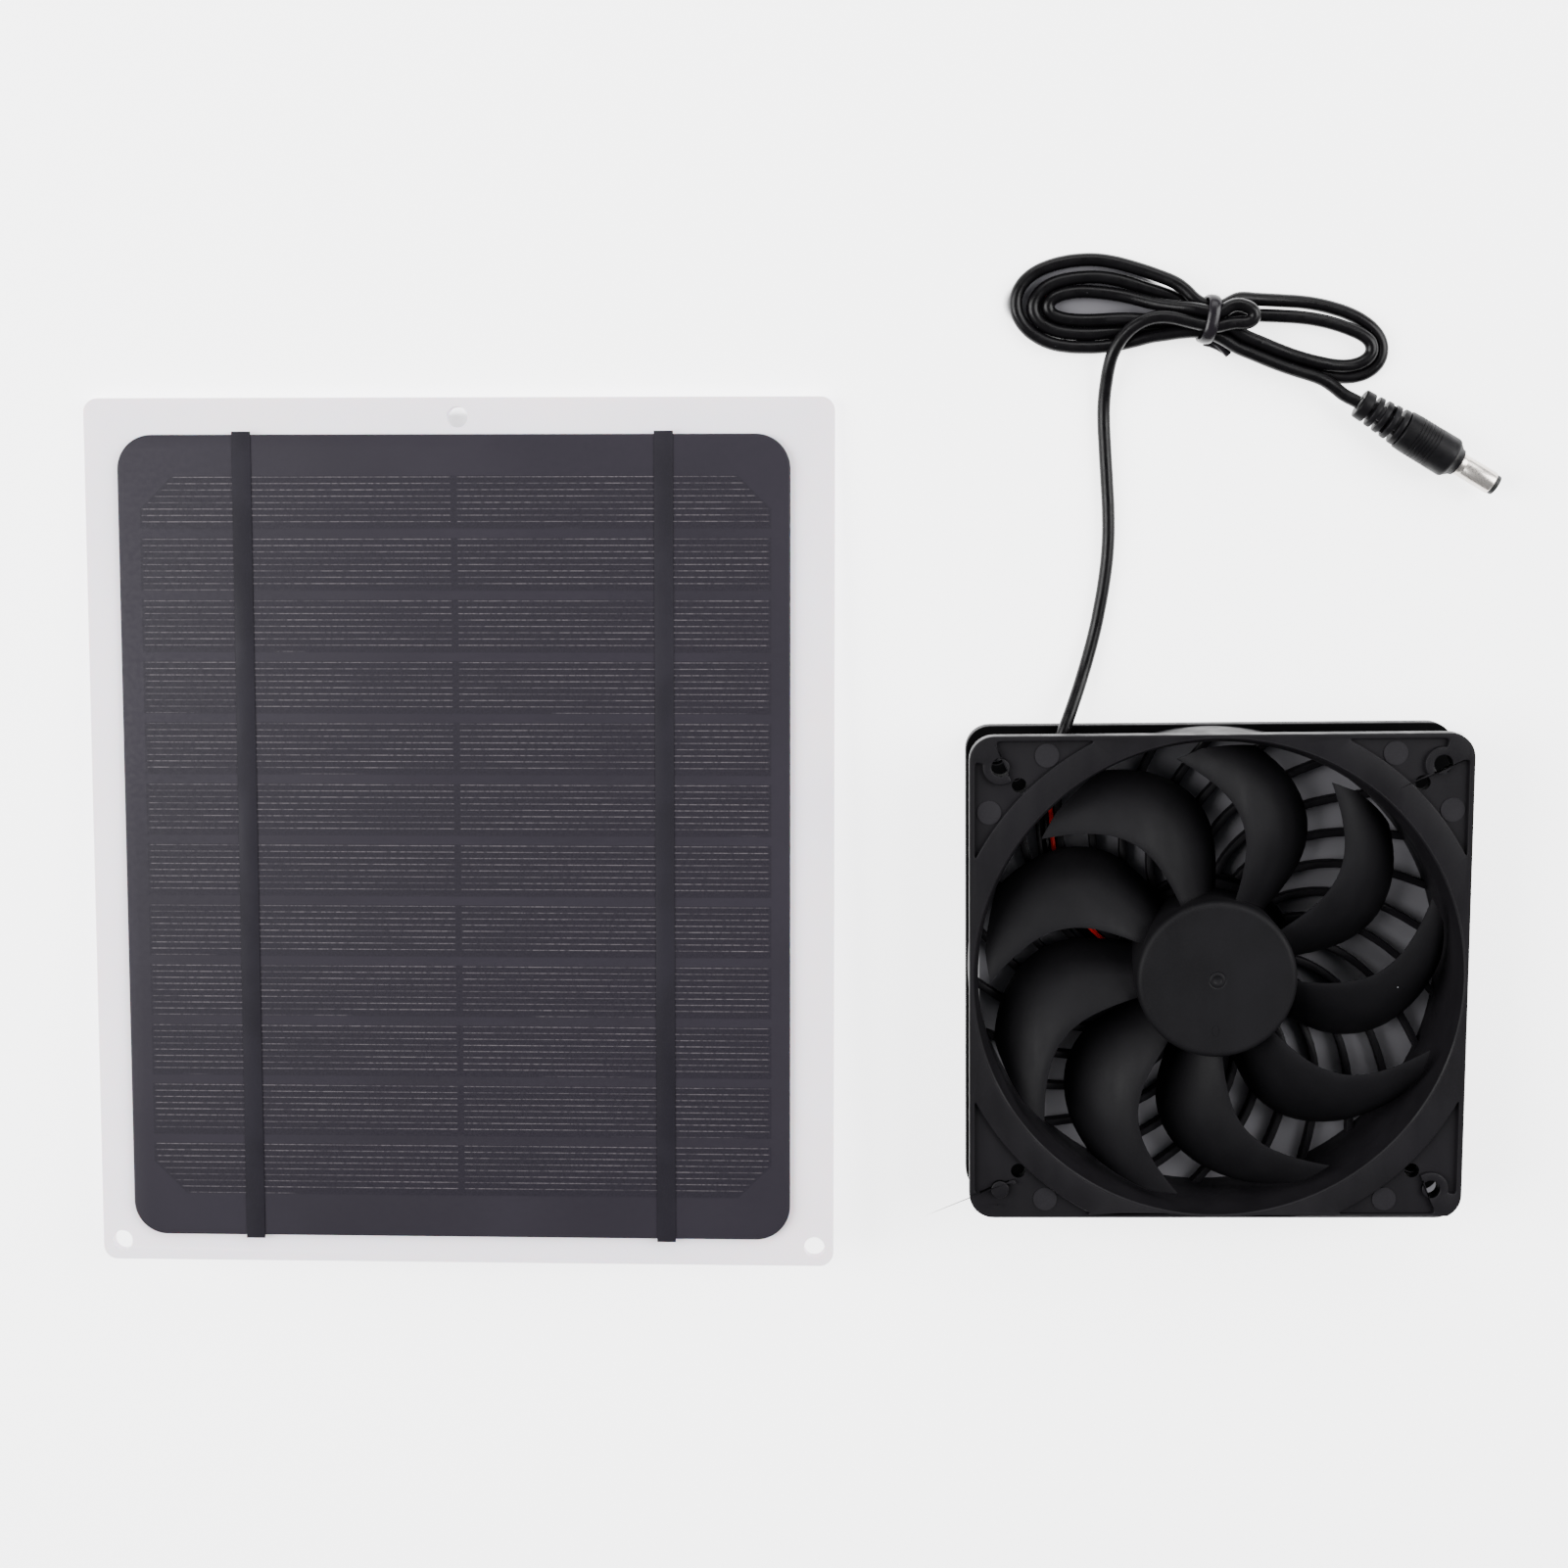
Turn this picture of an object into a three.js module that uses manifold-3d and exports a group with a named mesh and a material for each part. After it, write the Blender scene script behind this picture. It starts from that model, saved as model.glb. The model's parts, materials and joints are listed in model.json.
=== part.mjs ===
// Solar attic fan kit: a 120 mm axial fan lying on its back, its lead with a barrel plug,
// and the small solar panel that drives it, propped on its own junction box.
// Units are millimetres, +Z is up. The origin is on the ground, under the middle of the kit.

import * as THREE from 'three';
import { mergeVertices } from 'three/addons/utils/BufferGeometryUtils.js';
import Module from 'manifold-3d';

const wasm = await Module();
wasm.setup();

// ---------------------------------------------------------------- driving dimensions

const GAP = 0.3;                       // clearance between touching pieces
const THROUGH = 1;                     // how far a cutter runs past a face

// Fan frame
const FAN_CENTRE = new THREE.Vector3(109.7, -33.9, 0);
const FAN_SIZE = 120;                  // square side
const FAN_DEPTH = 25;
const FAN_CORNER_R = 6;
const HOLE_SPACING = 105;              // mounting holes, centre to centre
const HOLE_R = 2.2;
const RIVET_HOLE_R = 1.8;
const RIVET_HOLE_OFFSET = 48;          // second corner hole, from the fan's axes
const FLANGE_T = 4.2;
const BORE_R = 57.6;
const BORE_MOUTH_R = 58.9;
const BORE_MOUTH_DEPTH = 5;
const DUCT_R = 59.6;                   // outside of the duct wall
const RIM_W = 1.3;                     // raised rim round the corner pockets
const POCKET_DEPTH = 1.2;
const POCKET_ARC_R = 65.9;             // pocket's edge, along the duct
const BOSS_R = 4.3;
const PIN_MARK_R = 2.9;
const PIN_MARK_H = 0.4;
const WIRE_SLOT_TOP = 9;               // the duct wall's slot for the wires
const ROUND_STEPS = 72;                // facets round the duct

// Ribs that hold the motor
const RIB_COUNT = 26;
const RIB_T = 1.8;
const RIB_BOTTOM = 0.6;
const RIB_TOP = 3.8;
const RIB_START_R = 21.5;
const RIB_END_R = 58.2;
const RIB_END_DEG = 18.7;              // where the first rib meets the duct
const RIB_SWEEP_DEG = 38;              // turn between a rib's two ends
const GUIDE_RIB = 8;                   // the wires run beside this rib
const GUIDE_W = 5.6;
const GUIDE_WALL = 1;
const WIRE_OFFSET = 2.6;               // from the rib to the middle of the two wires
const BASE_R = 22.5;
const BASE_BOTTOM = 0.8;
const BASE_TOP = 2.6;
const BASE_RIM_TOP = 4.2;
const BASE_RIM_W = 1.5;

// Rotor
const BLADE_COUNT = 9;
const HUB_R = 19.4;
const HUB_WALL = 1.4;
const HUB_TOP = 24.4;
const HUB_ROOF = 1.6;
const HUB_BOTTOM = 6;
const HUB_EDGE_R = 1.5;
const BLADE_TIP_R = 56.2;
const BLADE_POINT_R = 54.9;            // the forward corner sits a little inside the tip circle
const BLADE_T = 1.5;
const BLADE_EDGE_T = 0.8;
const SHAFT_R = 1.5;
const SHAFT_BOTTOM = 1.8;
const SHAFT_CHAMFER = 0.3;
const GROOVE_R = 1.05;                 // the retaining clip's groove near the shaft's end
const GROOVE_BOTTOM = 2.7;
const GROOVE_TOP = 3.7;
const CLIP_R = 2.8;
const CLIP_BOTTOM = 3;
const CLIP_T = 0.4;
const CLIP_HALF_GAP_DEG = 25;
const SPRING_BORE_R = 2;
const SPRING_R = 3.1;
const SPRING_BOTTOM = 17.2;
const SPRING_TOP = 18.8;
const SHAFT_BOSS_R = 3.4;              // the hub's boss that holds the shaft
const SHAFT_BOSS_BOTTOM = 19.2;
const YOKE_EYE_R = 6;
const YOKE_BORE_R = 16.9;
const YOKE_R = 17.7;
const YOKE_BOTTOM = 7;
const YOKE_T = 0.6;
const MAGNET_BORE_R = 15.1;
const MAGNET_R = 16.6;
const MAGNET_BOTTOM = 7.6;
const MAGNET_TOP = 20.4;

// Motor
const TUBE_R = 5.2;
const TUBE_BORE_R = 4.3;
const TUBE_BOTTOM = 1;
const TUBE_TOP = 18.2;
const TUBE_STEP_R = 3.3;               // the step between the two bearings
const TUBE_STEP_BOTTOM = 8.6;
const TUBE_STEP_TOP = 12.6;
const BEARING_R = 4;
const BEARING_BORE_R = 1.8;
const BEARING_H = 4;
const BEARING_SHIELD_R = [2.4, 3.4];   // the sunk ring between the two races
const BEARING_SHIELD_DEPTH = 0.3;
const REAR_BEARING_BOTTOM = 4.2;
const FRONT_BEARING_BOTTOM = 12.9;
const CORE_R = 14.7;
const CORE_SHOE_R = 13;                // inside of a pole's shoe
const CORE_NECK_R = 8.2;               // foot of a pole's arm
const CORE_ARM_HALF_W = 1.6;
const CORE_SHOE_HALF_DEG = 38;
const POLE_COUNT = 4;
const CORE_BOTTOM = 8.5;
const CORE_TOP = 15.5;
const INSULATOR_T = 1;
const INSULATOR_ARM_HALF_W = 2.2;
const INSULATOR_SHOE_HALF_DEG = 30;
const COIL_START_R = 8.7;
const COIL_END_R = 12;
const COIL_HALF_W = 4;
const COIL_BOTTOM = 5.4;
const COIL_TOP = 18.6;
const COIL_T = 1.4;                    // thickness of the winding beside the arm
const COIL_CROWN = 1.5;                // thickness above and below the arm
const BOARD_BORE_R = 5.7;
const BOARD_R = 16.5;
const BOARD_BOTTOM = 3.2;
const BOARD_TOP = 4.4;
const LABEL_R = 19;
const LABEL_BOTTOM = 0.2;

// Lead, hank and plug
const CORD_R = 1.6;
const WIRE_R = 0.6;
const WIRE_SPREAD = 0.8;               // from the middle of the two wires to either one
const TIE_CENTRE = new THREE.Vector2(107.9, 124.2);
const TIE_YAW = THREE.MathUtils.degToRad(-10.8);
const TIE_WIRE = 0.9;                  // thickness of the tie's band
const TIE_HALF_W = 0.8;
const TIE_BOTTOM = 0.1;
const BUNDLE_HALF_W = 5;
const HANK_BOTTOM = 0.2;
const HANK_TOP = 9.8;
const HANK_WAIST_HALF = 1.1;           // half of the thinner stretch under the tie
const HANK_WAIST_INSET = 0.2;
const PLUG_START = new THREE.Vector3(144.4, 103.9, 5.1);
const PLUG_YAW = THREE.MathUtils.degToRad(-31.4);
const GRIP_R = 5;
const GRIP_LENGTH = 28;
const RELIEF_RINGS = 4;
const RELIEF_PITCH = 2.2;
const RELIEF_START = 2.6;              // where the collar at the cord ends
const BARREL_R = 2.75;
const BARREL_BORE_R = 1.7;
const BARREL_LENGTH = 9.4;
const PLUG_TIP_LENGTH = 0.9;
const PLUG_PIN_BORE_R = 1.25;

// Solar panel
const PANEL_CENTRE = new THREE.Vector2(-75.8, -0.1);
const PANEL_YAW = THREE.MathUtils.degToRad(-0.6);
const PLATE_W = 185.5;
const PLATE_H = 216.6;
const PLATE_T = 3;
const PLATE_CORNER_R = 3.5;
const PLATE_HOLE_R = 2.6;
const PLATE_HOLE_INSET = 4.8;
const SHEET_W = 166;
const SHEET_H = 200.5;
const SHEET_T = 1.6;
const SHEET_CORNER_R = 8.5;
const SHEET_OFFSET = new THREE.Vector2(-1.1, -1);
const CELL_COUNT = 12;
const CELL_W = 156;
const CELL_H = 13;
const CELL_PITCH = 15.16;
const CELL_T = 0.4;
const CELL_CHAMFER = 9;
const CELL_OFFSET = new THREE.Vector2(-0.7, -0.7);
const TAPE_W = 4.7;
const TAPE_T = 0.2;
const TAPE_SPREAD = 104;               // between the two tapes, centre to centre
const TAPE_OVERHANG = 0.7;
const RIBBON_W = 2.4;
const RIBBON_T = 0.2;

// Junction box under the panel
const BOX_TOP_Y = -66;                 // the box's edge that meets the ground
const BOX_H = 34;
const BOX_W = 58;
const BOX_DEPTH = 11.5;                // from the plate's back to the lid's face
const BOX_CORNER_R = 3;
const BOX_WALL = 1.6;
const BOX_FLOOR = 1.2;
const LID_T = 2.2;
const JACK_R = 3.8;
const JACK_BORE_R = 2.9;
const JACK_BORE_DEPTH = 9.4;
const JACK_PIN_R = 1;
const JACK_BODY_HALF_W = 4.6;
const JACK_BODY_BACK = 12;             // from the box's outer face to the body's back
const JACK_COLLAR_PROUD = 1.4;
const JACK_Z = -5;
const TERMINAL_BOARD_HALF_W = 22;
const TERMINAL_BOARD_T = 1.2;
const DIODE_R = 1.3;
const DIODE_HALF_L = 2.6;
const DIODE_X = -12;
const TERMINAL_HALF_W = 2.4;
const TERMINAL_HALF_T = 0.9;
const TERMINAL_INSET = 4;

// The panel leans from its top edge to the edge of its junction box.
const PANEL_TILT = -Math.atan2(BOX_DEPTH, PLATE_H / 2 - BOX_TOP_Y);

// ---------------------------------------------------------------- colours

const paint = (color, roughness, metalness = 0) =>
  new THREE.MeshStandardMaterial({ color, roughness, metalness });

const BLACK_PLASTIC = paint(0x2a2a2d, 0.6);
const ROTOR_PLASTIC = paint(0x2c2c2f, 0.55);
const CORD_BLACK = paint(0x1c1c1e, 0.45);
const STEEL = paint(0x9a9c9f, 0.35, 1);
const LAMINATION = paint(0x6d7074, 0.5, 1);
const BRASS = paint(0xb8963f, 0.35, 1);
const NICKEL = paint(0xc9c9c6, 0.2, 1);
const ALUMINIUM = paint(0xbfbfc1, 0.35, 1);
const COPPER = paint(0xb56a3a, 0.35, 1);
const FERRITE = paint(0x3a3a3c, 0.7);
const BOARD_GREEN = paint(0x1f5a38, 0.5);
const WHITE_NYLON = paint(0xe6e2d6, 0.6);
const RED_PVC = paint(0xc8231c, 0.45);
const LABEL_SILVER = paint(0xb9bbbd, 0.4);
const FROSTED = paint(0xe2dee6, 0.5);
const SHEET_DARK = paint(0x48444e, 0.55);
const CELL_BLUE = paint(0x3c3a44, 0.45);
const TAPE_BLACK = paint(0x2d2b33, 0.6);

// ---------------------------------------------------------------- geometry helpers

const rad = THREE.MathUtils.degToRad;

/** A point in the plan at radius r and an angle in degrees. */
function polar(r, deg) {
  return new THREE.Vector2(r * Math.cos(rad(deg)), r * Math.sin(rad(deg)));
}

/** A geometry as a manifold solid, for cutting and joining. */
function solid(geometry) {
  const bare = geometry.index ? geometry.toNonIndexed() : geometry.clone();
  bare.deleteAttribute('normal');
  bare.deleteAttribute('uv');
  const merged = mergeVertices(bare, 1e-5);
  return new wasm.Manifold(new wasm.Mesh({
    numProp: 3,
    vertProperties: new Float32Array(merged.attributes.position.array),
    triVerts: new Uint32Array(merged.index.array),
  }));
}

/** A manifold solid as a geometry. */
function geometryOf(body) {
  const mesh = body.getMesh();
  const geometry = new THREE.BufferGeometry();
  geometry.setAttribute('position', new THREE.BufferAttribute(mesh.vertProperties, 3));
  geometry.setIndex(new THREE.BufferAttribute(mesh.triVerts, 1));
  return geometry;
}

/** Joins a list of geometries into one solid. */
function joined(geometries) {
  return geometries.map(solid).reduce((whole, next) => whole.add(next));
}

/** A plan shape raised from z0 to z1. */
function raised(shape, z0, z1, curveSegments = 12) {
  const options = { depth: z1 - z0, bevelEnabled: false, curveSegments };
  return new THREE.ExtrudeGeometry(shape, options).translate(0, 0, z0);
}

/** A round bar along Z. */
function bar(r, z0, z1, steps = 24) {
  const geometry = new THREE.CylinderGeometry(r, r, z1 - z0, steps);
  return geometry.rotateX(Math.PI / 2).translate(0, 0, (z0 + z1) / 2);
}

/** A box between two corners. */
function block(x0, x1, y0, y1, z0, z1) {
  const geometry = new THREE.BoxGeometry(x1 - x0, y1 - y0, z1 - z0);
  return geometry.translate((x0 + x1) / 2, (y0 + y1) / 2, (z0 + z1) / 2);
}

/** A profile of [radius, height] pairs turned about Z. It runs up the outside and closes on itself. */
function turned(profile, steps = 32) {
  const points = profile.map(([r, z]) => new THREE.Vector2(r, z));
  const first = points[0];
  const last = points[points.length - 1];
  if (first.x > 0 || last.x > 0) {
    points.push(first.clone());
  }
  return new THREE.LatheGeometry(points, steps).rotateX(Math.PI / 2);
}

/** A plain ring with a rectangular section. */
function ring(bore, outer, z0, z1, steps = 32) {
  return turned([[bore, z0], [outer, z0], [outer, z1], [bore, z1]], steps);
}

/** A rectangle with round corners, centred on a point. */
function roundedRect(width, height, r, cx = 0, cy = 0) {
  const shape = new THREE.Shape();
  const x = width / 2 - r;
  const y = height / 2 - r;
  shape.absarc(cx + x, cy + y, r, 0, Math.PI / 2);
  shape.absarc(cx - x, cy + y, r, Math.PI / 2, Math.PI);
  shape.absarc(cx - x, cy - y, r, Math.PI, Math.PI * 1.5);
  shape.absarc(cx + x, cy - y, r, Math.PI * 1.5, Math.PI * 2);
  return shape;
}

/** A round tube along a smooth curve through points. */
function cordAlong(points, r, steps, sides) {
  const section = new THREE.Shape();
  section.absarc(0, 0, r, 0, Math.PI * 2);
  const curve = new THREE.CatmullRomCurve3(points.map((p) => new THREE.Vector3(...p)));
  return new THREE.ExtrudeGeometry(section, {
    steps, extrudePath: curve, bevelEnabled: false, curveSegments: sides,
  });
}

/** Turns a solid about Z, in degrees. */
function spun(body, deg) {
  return body.rotate([0, 0, deg]);
}

// ---------------------------------------------------------------- scene graph

const kit = new THREE.Group();
const fan = new THREE.Group();
fan.position.copy(FAN_CENTRE);
kit.add(fan);

/** Adds a named piece to a group. */
function piece(group, name, geometry, material) {
  const mesh = new THREE.Mesh(geometry, material);
  mesh.name = name;
  group.add(mesh);
  return mesh;
}

// ---------------------------------------------------------------- fan frame

/** One corner pocket of the front flange, drawn at the upper left corner. */
function cornerPocket() {
  const edge = FAN_SIZE / 2 - RIM_W;
  const hole = HOLE_SPACING / 2;
  const floor = FAN_DEPTH - POCKET_DEPTH;
  const top = FAN_DEPTH + THROUGH;
  const square = solid(block(-edge, -BORE_R / 2, BORE_R / 2, edge, floor, top));
  const arc = solid(bar(POCKET_ARC_R, floor - THROUGH, top + THROUGH, ROUND_STEPS));
  const boss = solid(bar(BOSS_R, floor - THROUGH, top + THROUGH).translate(-hole, hole, 0));
  const inner = hole + RIM_W;
  const corner = solid(block(-FAN_SIZE, -inner, inner, FAN_SIZE, floor - THROUGH, top + THROUGH));
  return square.subtract(arc).subtract(boss).subtract(corner);
}

/** The low round marks that the moulding pins leave in the pockets. */
function pinMarks() {
  const near = 41.4;
  const far = 55.2;
  const places = [[-near, far], [-far, near], [near, far], [far, near], [-near, -far], [near, -far]];
  const floor = FAN_DEPTH - POCKET_DEPTH;
  const mark = bar(PIN_MARK_R, floor - THROUGH, floor + PIN_MARK_H, 14);
  return places.map(([x, y]) => mark.clone().translate(x, y, 0));
}

/** A rib's angle at a radius, in degrees before its end at the duct. */
function ribLead(r) {
  const along = (RIB_END_R - r) / (RIB_END_R - RIB_START_R);
  return RIB_SWEEP_DEG * (0.8 * along + 0.65 * along ** 2 - 0.45 * along ** 3);
}

/** A point beside a rib's centre line, some way to its left as seen from the hub. */
function besideRib(endDeg, r, left) {
  const here = polar(r, endDeg + ribLead(r));
  const ahead = polar(r + 0.1, endDeg + ribLead(r + 0.1));
  const normal = ahead.sub(here).normalize().rotateAround(new THREE.Vector2(), Math.PI / 2);
  return here.addScaledVector(normal, left);
}

/** A strip that follows the ribs' curve between two distances to its left. */
function ribStrip(endDeg, near, far) {
  const steps = 4;
  const points = [];
  for (let i = 0; i <= steps; i += 1) {
    const r = RIB_START_R + ((RIB_END_R - RIB_START_R) * i) / steps;
    points.push(besideRib(endDeg, r, near));
    points.unshift(besideRib(endDeg, r, far));
  }
  return new THREE.Shape(points);
}

const GUIDE_DEG = RIB_END_DEG + (360 / RIB_COUNT) * GUIDE_RIB;

/** All the curved ribs, and the channel beside one of them that holds the wires. */
function ribs() {
  const list = [];
  for (let i = 0; i < RIB_COUNT; i += 1) {
    const strip = ribStrip(RIB_END_DEG + (360 / RIB_COUNT) * i, -RIB_T / 2, RIB_T / 2);
    list.push(raised(strip, RIB_BOTTOM, RIB_TOP));
  }
  list.push(raised(ribStrip(GUIDE_DEG, 0, GUIDE_W), RIB_BOTTOM, RIB_BOTTOM + GUIDE_WALL));
  list.push(raised(ribStrip(GUIDE_DEG, GUIDE_W - GUIDE_WALL, GUIDE_W), RIB_BOTTOM, RIB_TOP));
  return list;
}

/** Where the wires leave the motor base, and where they pass through the duct wall. */
function wireWays() {
  const rim = besideRib(GUIDE_DEG, BASE_R - BASE_RIM_W / 2, WIRE_OFFSET);
  const rimNotch = block(-3, 3, -2.4, 2.4, BASE_TOP, BASE_RIM_TOP + THROUGH)
    .rotateZ(Math.atan2(rim.y, rim.x)).translate(rim.x, rim.y, 0);
  const wallSlot = block(-43.6, -37.6, 38, 48.5, RIB_BOTTOM + GUIDE_WALL, WIRE_SLOT_TOP);
  return [rimNotch, wallSlot];
}

/** The whole frame: flanges, duct, corner pockets, ribs, motor base, holes and wire ways. */
function fanFrame() {
  const outline = roundedRect(FAN_SIZE, FAN_SIZE, FAN_CORNER_R);
  const shell = joined([
    raised(outline, 0, FLANGE_T),
    raised(outline, FAN_DEPTH - FLANGE_T, FAN_DEPTH),
    bar(DUCT_R, 0, FAN_DEPTH, ROUND_STEPS),
  ]);
  const bore = solid(turned([
    [0, -THROUGH],
    [BORE_R, -THROUGH],
    [BORE_R, FAN_DEPTH - BORE_MOUTH_DEPTH],
    [BORE_MOUTH_R, FAN_DEPTH],
    [BORE_MOUTH_R, FAN_DEPTH + THROUGH],
    [0, FAN_DEPTH + THROUGH],
  ], ROUND_STEPS));
  let body = shell.subtract(bore);
  for (let i = 0; i < 4; i += 1) {
    body = body.subtract(spun(cornerPocket(), 90 * i));
  }
  const inside = solid(bar(DUCT_R, 0, FAN_DEPTH, ROUND_STEPS));
  body = body.add(joined(ribs()).intersect(inside));
  body = body.add(solid(ring(TUBE_R + GAP, BASE_R, BASE_BOTTOM, BASE_TOP, 48)));
  body = body.add(solid(ring(BASE_R - BASE_RIM_W, BASE_R, BASE_BOTTOM, BASE_RIM_TOP, 48)));
  body = body.add(joined(pinMarks()));
  const screwAt = HOLE_SPACING / 2;
  const rivetAt = RIVET_HOLE_OFFSET;
  for (const sx of [-1, 1]) {
    for (const sy of [-1, 1]) {
      const screw = bar(HOLE_R, -THROUGH, FAN_DEPTH + THROUGH, 20);
      const rivet = bar(RIVET_HOLE_R, -THROUGH, FAN_DEPTH + THROUGH, 16);
      body = body.subtract(solid(screw.translate(sx * screwAt, sy * screwAt, 0)));
      body = body.subtract(solid(rivet.translate(sx * rivetAt, sy * rivetAt, 0)));
    }
  }
  for (const way of wireWays()) {
    body = body.subtract(solid(way));
  }
  return geometryOf(body);
}

// ---------------------------------------------------------------- rotor

/** Straight-line reading of a table of [radius, value] rows. */
function along(table, r) {
  const last = table[table.length - 1];
  if (r >= last[0]) {
    return last[1];
  }
  const upper = Math.max(1, table.findIndex((row) => row[0] >= r));
  const [r0, v0] = table[upper - 1];
  const [r1, v1] = table[upper];
  const part = (r - r0) / (r1 - r0);
  return v0 + (v1 - v0) * part;
}

// Angles in degrees at each radius, for the blade's leading and trailing edges.
const LEADING_DEG = [
  [18, 35.9], [25, 36.2], [31, 37.4], [36, 39.6], [40, 42.5], [44, 46.6], [48, 51.8], [52, 57.2], [55, 61],
];
const TRAILING_DEG = [
  [18, 4.6], [25, 5.8], [32, 8], [36, 10], [40, 13], [44, 17], [48, 22.5], [52, 29.5], [56.2, 39],
];
// Heights of the same edges.
const LEADING_Z = [[18, 19.6], [30, 21.2], [55, 22.6]];
const TRAILING_Z = [[18, 6.2], [40, 6.4], [57, 8.6]];

/** A point on the blade's middle surface: s runs from root to tip, t from leading to trailing edge. */
function bladePoint(s, t) {
  const rootR = HUB_R - HUB_WALL / 2;
  const tipR = BLADE_POINT_R + (BLADE_TIP_R - BLADE_POINT_R) * Math.min(1, t * 3);
  const r = rootR + (tipR - rootR) * s;
  const deg = along(LEADING_DEG, r) * (1 - t) + along(TRAILING_DEG, r) * t;
  const high = along(LEADING_Z, r);
  const low = along(TRAILING_Z, r);
  const z = high - (high - low) * (0.45 * t + 0.55 * t ** 2);
  const plan = polar(r, deg);
  return new THREE.Vector3(plan.x, plan.y, z);
}

/** One blade as a closed skin: two offset faces and the strip round their edge. */
function blade() {
  const spans = 9;
  const chords = 6;
  const tiny = 1e-3;
  const faces = [[], []];
  for (let i = 0; i <= spans; i += 1) {
    for (let j = 0; j <= chords; j += 1) {
      const s = i / spans;
      const t = j / chords;
      const here = bladePoint(s, t);
      const alongSpan = bladePoint(s + tiny, t).sub(bladePoint(s - tiny, t));
      const alongChord = bladePoint(s, t + tiny).sub(bladePoint(s, t - tiny));
      const normal = alongChord.cross(alongSpan).normalize();
      const half = (BLADE_EDGE_T + (BLADE_T - BLADE_EDGE_T) * 4 * t * (1 - t)) / 2;
      faces[0].push(here.clone().addScaledVector(normal, half));
      faces[1].push(here.clone().addScaledVector(normal, -half));
    }
  }
  const row = chords + 1;
  const count = faces[0].length;
  const index = [];
  const quad = (a, b, c, d) => index.push(a, b, c, a, c, d);
  for (let i = 0; i < spans; i += 1) {
    for (let j = 0; j < chords; j += 1) {
      const a = i * row + j;
      quad(a, a + 1, a + row + 1, a + row);
      quad(count + a, count + a + row, count + a + row + 1, count + a + 1);
    }
  }
  const acrossRoot = Array.from({ length: chords }, (_, j) => j);
  const outTrailing = Array.from({ length: spans }, (_, i) => i * row + chords);
  const acrossTip = Array.from({ length: chords }, (_, j) => spans * row + chords - j);
  const inLeading = Array.from({ length: spans }, (_, i) => (spans - i) * row);
  const loop = [...acrossRoot, ...outTrailing, ...acrossTip, ...inLeading];
  loop.forEach((a, k) => {
    const b = loop[(k + 1) % loop.length];
    quad(a, count + a, count + b, b);
  });
  const geometry = new THREE.BufferGeometry().setFromPoints([...faces[0], ...faces[1]]);
  geometry.setIndex(index);
  return geometry;
}

/** The hub cup with its shaft boss and blades. */
function impeller() {
  const roof = HUB_TOP - HUB_ROOF;
  const edge = HUB_EDGE_R * (1 - Math.SQRT1_2);
  const cup = solid(turned([
    [0, roof],
    [HUB_R - HUB_WALL, roof],
    [HUB_R - HUB_WALL, HUB_BOTTOM],
    [HUB_R, HUB_BOTTOM],
    [HUB_R, HUB_TOP - HUB_EDGE_R],
    [HUB_R - edge, HUB_TOP - edge],
    [HUB_R - HUB_EDGE_R, HUB_TOP],
    [0, HUB_TOP],
  ], 56));
  const boss = solid(bar(SHAFT_BOSS_R, SHAFT_BOSS_BOTTOM, roof + HUB_ROOF / 2));
  const shaftHole = solid(bar(SHAFT_R + GAP, SHAFT_BOSS_BOTTOM - THROUGH, roof));
  let body = cup.add(boss).subtract(shaftHole);
  const vane = solid(blade());
  for (let i = 0; i < BLADE_COUNT; i += 1) {
    body = body.add(spun(vane, (360 / BLADE_COUNT) * i));
  }
  return geometryOf(body);
}

function rotorPieces() {
  const roof = HUB_TOP - HUB_ROOF;
  piece(fan, 'impeller', impeller(), ROTOR_PLASTIC);
  piece(fan, 'rotor_yoke', turned([
    [YOKE_EYE_R, roof - GAP - YOKE_T],
    [YOKE_BORE_R, roof - GAP - YOKE_T],
    [YOKE_BORE_R, YOKE_BOTTOM],
    [YOKE_R, YOKE_BOTTOM],
    [YOKE_R, roof - GAP],
    [YOKE_EYE_R, roof - GAP],
  ], 32), STEEL);
  piece(fan, 'magnet_ring', ring(MAGNET_BORE_R, MAGNET_R, MAGNET_BOTTOM, MAGNET_TOP), FERRITE);
  piece(fan, 'rotor_shaft', turned([
    [0, SHAFT_BOTTOM],
    [SHAFT_R - SHAFT_CHAMFER, SHAFT_BOTTOM],
    [SHAFT_R, SHAFT_BOTTOM + SHAFT_CHAMFER],
    [SHAFT_R, GROOVE_BOTTOM],
    [GROOVE_R, GROOVE_BOTTOM],
    [GROOVE_R, GROOVE_TOP],
    [SHAFT_R, GROOVE_TOP],
    [SHAFT_R, roof - GAP],
    [0, roof - GAP],
  ], 16), STEEL);
  const clip = new THREE.Shape();
  const clipStart = rad(CLIP_HALF_GAP_DEG);
  const clipEnd = rad(360 - CLIP_HALF_GAP_DEG);
  clip.absarc(0, 0, CLIP_R, clipStart, clipEnd);
  clip.absarc(0, 0, GROOVE_R + GAP, clipEnd, clipStart, true);
  piece(fan, 'retaining_clip', raised(clip, CLIP_BOTTOM, CLIP_BOTTOM + CLIP_T), STEEL);
  const spring = ring(SPRING_BORE_R, SPRING_R, SPRING_BOTTOM, SPRING_TOP, 20);
  piece(fan, 'preload_spring', spring, STEEL);
}

// ---------------------------------------------------------------- motor

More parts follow.
